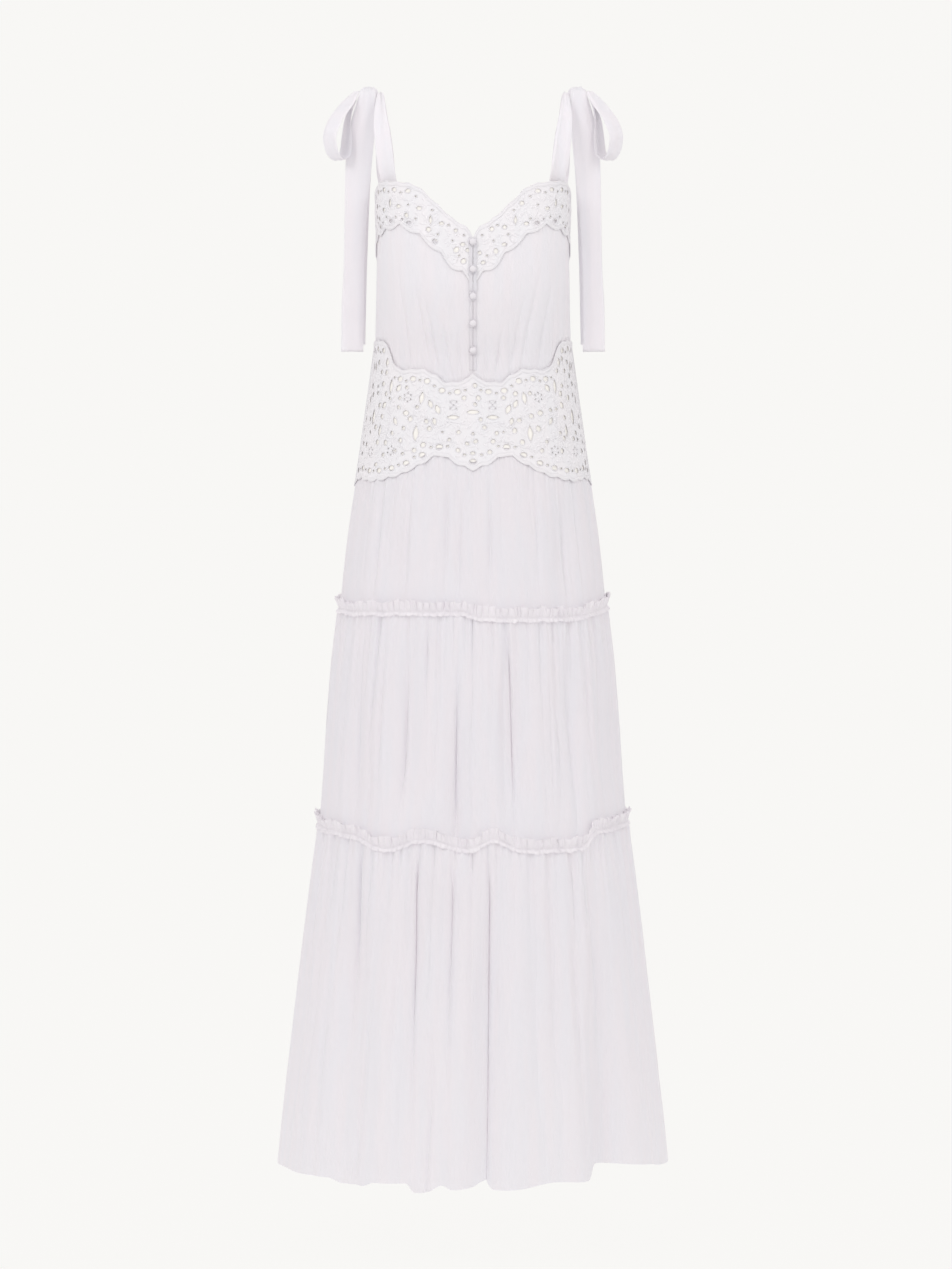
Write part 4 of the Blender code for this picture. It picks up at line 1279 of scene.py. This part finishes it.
def add_yoke():
    upper = scalloped(yoke_upper, 8.0, 0.0020)
    lower = scalloped(yoke_lower, 8.0, 0.0028)
    for face, first in FRONT_BACK:
        lace = LacePanel(f"yoke_lace_{face}", (first, first + 180.0), YOKE_RADIUS, upper, lower)
        lace.middle = lace.to_u(first + 90.0)
        lace.add_eyelet(lace.middle, -0.4215, 0.0165, 0.0062)
        add_flower(lace, lace.middle, -0.4500, 0.0225, 6, 90.0)
        for side in (-1.0, 1.0):
            for spot in YOKE_FLOWERS:
                add_flower(lace, lace.middle + side * spot.u, spot.v, 1.25 * spot.size, 5, 90.0)
            for spot in YOKE_SPRIGS:
                add_sprig(lace, lace.middle + side * spot.u, spot.v, 1.15 * spot.size)
            for spot in YOKE_ROSETTES:
                add_rosette(lace, lace.middle + side * spot.u, spot.v, spot.size)
            for drop in YOKE_DROPS:
                u = lace.middle + side * drop.u
                lace.add_eyelet(u, drop.v, 1.25 * drop.wide, 1.2 * drop.tall, -side * drop.tilt, 0.35)
            add_ladder(lace, lace.middle + side * 0.0255, -0.4125, 0.0125)
        for inside, edge in ((-0.0120, upper), (0.0120, lower)):
            add_edge_row(lace, edge, inside, 0.0104, 0.0094, 0.0046)
        for side in (-1.0, 1.0):
            for stops in YOKE_VINES:
                lace.add_vine(stops, side)
        lace.fill(5 if face == "front" else 6)
        lace.build((0.45, 0.185), 0.062)
        add_lining(
            f"yoke_lining_{face}",
            (first, first + 180.0),
            (moved(yoke_upper, -OVERLAP), moved(yoke_lower, OVERLAP)),
            (0.45, 0.185),
        )


def add_neck_lace():
    upper = scalloped(neck_upper, 8.0, 0.0018)
    lower = scalloped(neck_lower, SCALLOP_PITCH, SCALLOP_DROP)
    panels = (
        ("front_right", (-90.0, 0.0), (0.21, 0.12), 0.0140),
        ("front_left", (0.0, 90.0), (0.21, 0.12), 0.0140),
        ("back", (90.0, 270.0), (0.41, 0.11), 0.0310),
    )
    for number, (word, angles, flat, area) in enumerate(panels):
        lace = LacePanel("neck_lace_" + word, angles, NECK_RADIUS, upper, lower)
        lace.middle = lace.to_u(sum(angles) / 2)
        first_lobe = math.ceil(angles[0] / SCALLOP_PITCH)
        for lobe in range(first_lobe, math.floor(angles[1] / SCALLOP_PITCH) + 1):
            fill_lobe(lace, lobe)
        add_edge_row(lace, upper, -0.0106, 0.0100, 0.0078, 0.0040)
        lace.fill(7 + number)
        lace.build(flat, area)
        edges = (moved(neck_upper, -LACE), moved(neck_lower, OVERLAP))
        add_lining("neck_lining_" + word, angles, edges, flat)


def fill_lobe(lace, lobe):
    """A ringed eyelet over the lobe of the scalloped edge, and a motif above it."""
    angle = np.array(lobe * SCALLOP_PITCH)
    u, foot = lace.to_u(angle), float(neck_lower(angle))
    height = float(neck_upper(angle)) - foot
    lace.add_eyelet(u, foot + 0.0052, 0.0078, 0.0060)
    ring = Eyelet(u, foot + 0.0052, 0.0078, 0.0060, 0.0, 0.0)
    lace.cords.append(np.concatenate([outline(ring, 0.0028), outline(ring, 0.0028)[:1]]))
    for side in (-1.0, 1.0):
        lace.add_eyelet(u + side * 0.0088, foot + 0.0105, 0.0036)
        lace.add_leaf(u + side * 0.0110, foot + 0.0165, 0.0070, 0.0026, 90.0 + side * 40.0)
    if lobe % 2:
        add_flower(lace, u, foot + height * 0.50, 0.0170, 5, 90.0)
    else:
        add_sprig(lace, u, foot + height * 0.50, 0.0140)
    between = u + lace.to_u(SCALLOP_PITCH / 2)
    lace.add_eyelet(between, foot + height * 0.42, 0.0072, 0.0058)
    lace.add_leaf(between - 0.0050, foot + height * 0.62, 0.0070, 0.0026, 55.0)
    lace.add_leaf(between + 0.0050, foot + height * 0.62, 0.0070, 0.0026, 125.0)


def add_lining(node, angles, edges, flat):
    """The plain lining that shows through the eyelets."""
    around = np.linspace(*angles, int(abs(angles[1] - angles[0])))
    shares = np.linspace(0.0, 1.0, 24)
    high, low = edges[0](around), edges[1](around)
    z = high[None] + (low - high)[None] * shares[:, None]
    points, _ = body_points(np.broadcast_to(around, z.shape), z, LACE_LIFT - LINING_UNDER_LACE)
    piece = new_object(node + "_cloth", points, grid_faces(*points.shape[:2]), "lining")
    finish_piece(piece, "lining", node)


# ---------------------------------------------------------------- button stands, buttons and loops
def placket_lift(z):
    on_lace = smooth_step((z - (-0.2550) + 0.012) / 0.010)
    return 0.0006 + on_lace * (LACE_LIFT + 0.0002)


def add_plackets():
    for name, side in (("placket_left", 1.0), ("placket_right", -1.0)):
        z = np.linspace(PLACKET_TOP, PLACKET_BOTTOM, 180 // QUICK)
        share = np.linspace(0.0, 1.0, 9)
        across = (0.00025 + PLACKET_WIDTH * share)[None, :]
        angle = np.degrees(across / section_value("half_width", z)[:, None]) * side
        puckers = 0.00015 * np.sin(z * 1700.0 + side)[:, None] * (1.0 - share)[None, :]
        rolled = 0.0002 * (1.0 - (2.0 * share - 1.0) ** 4)[None, :]
        lift = placket_lift(z)[:, None] + rolled + puckers
        height = np.broadcast_to(z[:, None], angle.shape)
        points, _ = body_points(angle, height, lift)
        points[..., 0] = across * side
        faces = grid_faces(*points.shape[:2])
        piece = new_object(name + "_cloth", points, faces if side > 0 else faces[:, ::-1], "voile")
        thicken(piece, CLOTH)
        finish_piece(piece, "voile", name)


def add_buttons():
    for number in range(BUTTONS):
        z = BUTTON_TOP - BUTTON_SPACING * number
        front = body_points(np.array(0.0), np.array(z), placket_lift(np.array(z)))[0]
        centre = Vector((0.0, front[1] - 0.0036, z))
        turn = np.linspace(0.0, 2.0 * math.pi, 40, endpoint=False)
        rise = np.linspace(-math.pi / 2, math.pi / 2, 22)
        t, r = np.meshgrid(turn, rise, indexing="ij")
        pleats = 1.0 + 0.030 * np.cos(t * 9.0) * np.clip(-np.sin(r), 0.0, 1.0)
        x = np.cos(r) * np.cos(t) * BUTTON_RADIUS * pleats
        height = np.cos(r) * np.sin(t) * BUTTON_RADIUS * pleats
        y = -np.sin(r) * 0.0037
        points = np.stack([x + centre.x, y + centre.y, height + centre.z], axis=-1)
        faces = grid_faces(40, 22, closed_rows=True)
        # Its darker covered_button material is painted shade.
        button = new_object(f"button_{number + 1}_cover", points, faces, "covered_button")
        close_up(button)
        finish_piece(button, "covered_button", f"button_{number + 1}")
        pile = Pile()
        sweep = np.linspace(math.radians(65), math.radians(295), 26)
        ring = BUTTON_RADIUS + 0.0006
        loop = np.stack(
            [
                np.cos(sweep) * ring - 0.0004,
                np.full_like(sweep, centre.y + 0.0022),
                centre.z + np.sin(sweep) * ring,
            ],
            axis=-1,
        )
        outs = np.tile(np.array([0.0, -1.0, 0.0]), (len(loop), 1))
        pile.tube(loop, outs, 0.0006, sides=7, ends=0.8)
        finish_piece(pile.made(f"button_{number + 1}_loop", "strap_cloth"), "strap_cloth")


# ---------------------------------------------------------------- straps and bows
def band_points(rows, side, steps, sides, thickness, ripple, seed):
    """Rings of points round a doubled band, with creases along it that grow where it is gathered."""
    random = np.random.default_rng(seed)
    places = np.arange(len(rows))
    at = np.linspace(0.0, len(rows) - 1.0, (len(rows) - 1) * steps + 1)
    values = [curve_through(places, [row[k] for row in rows], at) for k in range(6)]
    centre = np.stack(values[:3], axis=-1)
    width, facing, crown = values[3], np.radians(values[4]), values[5]
    along = np.gradient(centre, axis=0)
    along /= np.linalg.norm(along, axis=1, keepdims=True)
    across = np.stack([np.cos(facing), np.sin(facing), 0.0 * facing], axis=-1)
    across -= along * (across * along).sum(axis=1, keepdims=True)
    across /= np.linalg.norm(across, axis=1, keepdims=True)
    out = np.cross(along, across)
    turn = np.linspace(0.0, 2.0 * math.pi, sides, endpoint=False)
    share = np.sign(np.cos(turn)) * np.abs(np.cos(turn)) ** 0.7
    thick = np.sin(turn) * thickness / 2
    widest = width.max()
    gathered = (1.0 - width / widest)[:, None]
    waves = np.zeros((len(at), sides))
    for k in range(1, 5):
        phase = random.uniform(0.0, 2.0 * math.pi) + random.uniform(-0.5, 0.5) * at[:, None]
        waves += np.cos(share[None, :] * math.pi * (0.8 + 0.9 * k) + phase) / (k + 0.5)
    bulge = crown[:, None] * (1.0 - share[None, :] ** 2) + waves * ripple * (0.45 + 1.6 * gathered)
    points = (
        centre[:, None]
        + across[:, None] * (share[None, :, None] * width[:, None, None] / 2)
        + out[:, None] * (bulge + thick[None, :])[..., None]
    )
    points[..., 0] *= side
    return points


def add_band(node, cut, side, seed):
    points = band_points(cut.rows, side, 12 // QUICK, 36, 0.0010, cut.ripple, seed)
    rings, sides = points.shape[:2]
    faces = grid_faces(rings, sides, closed_columns=True).tolist()
    ends = [list(range(sides)), list(range((rings - 1) * sides, rings * sides))]
    piece = new_object(node + "_cloth", points, faces + ends, "strap_cloth")
    close_up(piece)
    return finish_piece(piece, "strap_cloth", node)


def strap_base(back):
    """Where a strap is sewn behind the lace, just inside the body's surface."""
    angle = 180.0 - STRAP_ANGLE if back else STRAP_ANGLE
    z = float(neck_upper(np.array(angle))) - 2 * OVERLAP
    place = body_points(np.array(angle), np.array(z), -STRAP_INSET)[0]
    ahead = body_points(np.array(STRAP_ANGLE + 6.0), np.array(z))[0]
    behind = body_points(np.array(STRAP_ANGLE - 6.0), np.array(z))[0]
    turned = math.degrees(math.atan2(ahead[1] - behind[1], ahead[0] - behind[0]))
    mirrored = -1 if back else 1
    return Band(*place, STRAP_WIDTH, turned * mirrored, STRAP_CROWN * mirrored)


def add_knot(word, side):
    """The gathered band wound over the middle of the bow, its pleats running over from front to back."""
    rise = np.linspace(-math.pi / 2, math.pi / 2, 60)
    turn = np.linspace(0.0, 2.0 * math.pi, 64, endpoint=False)
    r, t = np.meshgrid(rise, turn, indexing="ij")
    along = np.sin(r)
    pleats = np.cos(along * 13.0 + 0.9 * np.sin(t + 0.6))
    pleats = pleats + 0.5 * np.cos(along * 23.0 - 1.1 * np.sin(2.0 * t))
    round_by = np.cos(r) ** 0.8 * (1.0 + 0.045 * pleats * np.cos(r))
    points = np.stack(
        [
            KNOT_CENTRE[0] + along * KNOT_HALF_WIDTH,
            KNOT_CENTRE[1] + round_by * np.cos(t) * KNOT_RADIUS,
            KNOT_CENTRE[2] + round_by * np.sin(t) * KNOT_RADIUS,
        ],
        axis=-1,
    )
    points[..., 0] *= side
    faces = grid_faces(60, 64, closed_columns=True)
    knot = new_object(f"knot_{word}_cloth", points, faces, "strap_cloth")
    close_up(knot)
    return finish_piece(knot, "strap_cloth", f"knot_{word}")


def close_up(obj):
    """Joins points that lie together, such as a ball's poles, and turns all faces outwards."""
    bm = bmesh.new()
    bm.from_mesh(obj.data)
    bmesh.ops.remove_doubles(bm, verts=bm.verts, dist=1e-6)
    bmesh.ops.recalc_face_normals(bm, faces=bm.faces)
    bm.to_mesh(obj.data)
    bm.free()


BandCut = collections.namedtuple("BandCut", "name rows flat ripple")
TAIL_TOP = Band(0.1396, -0.0040, 0.0112, 0.015, 0, 0.0005)


def add_straps_and_bows():
    cuts = (
        BandCut("strap_front", (strap_base(False),) + STRAP_FRONT_REST, (0.030, 0.145), 0.0007),
        BandCut("strap_back", (strap_base(True),) + STRAP_BACK_REST, (0.031, 0.160), 0.0007),
        BandCut("loop", LOOP, (0.028, 0.225), 0.0008),
        BandCut("tail_front", (TAIL_TOP,) + TAIL_FRONT, (0.033, 0.355), 0.0009),
        BandCut("tail_back", TAIL_BACK, (0.032, 0.335), 0.0009),
    )
    for word, side in (("left", 1.0), ("right", -1.0)):
        knot = add_knot(word, side)
        for number, cut in enumerate(cuts):
            node = f"{cut.name}_{word}"
            seed = 200 + 10 * number + int(side)
            piece = add_band(node, cut, side, seed)


# ---------------------------------------------------------------- the dress
add_camera()
add_studio()
make_materials()
add_tiers()
add_bodice()
add_frills()
add_yoke()
add_neck_lace()
add_plackets()
add_buttons()
add_straps_and_bows()

boxes = {"cad": cad_box, "visual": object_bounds()}
{name: [list(corner) for corner in box] for name, box in boxes.items()}
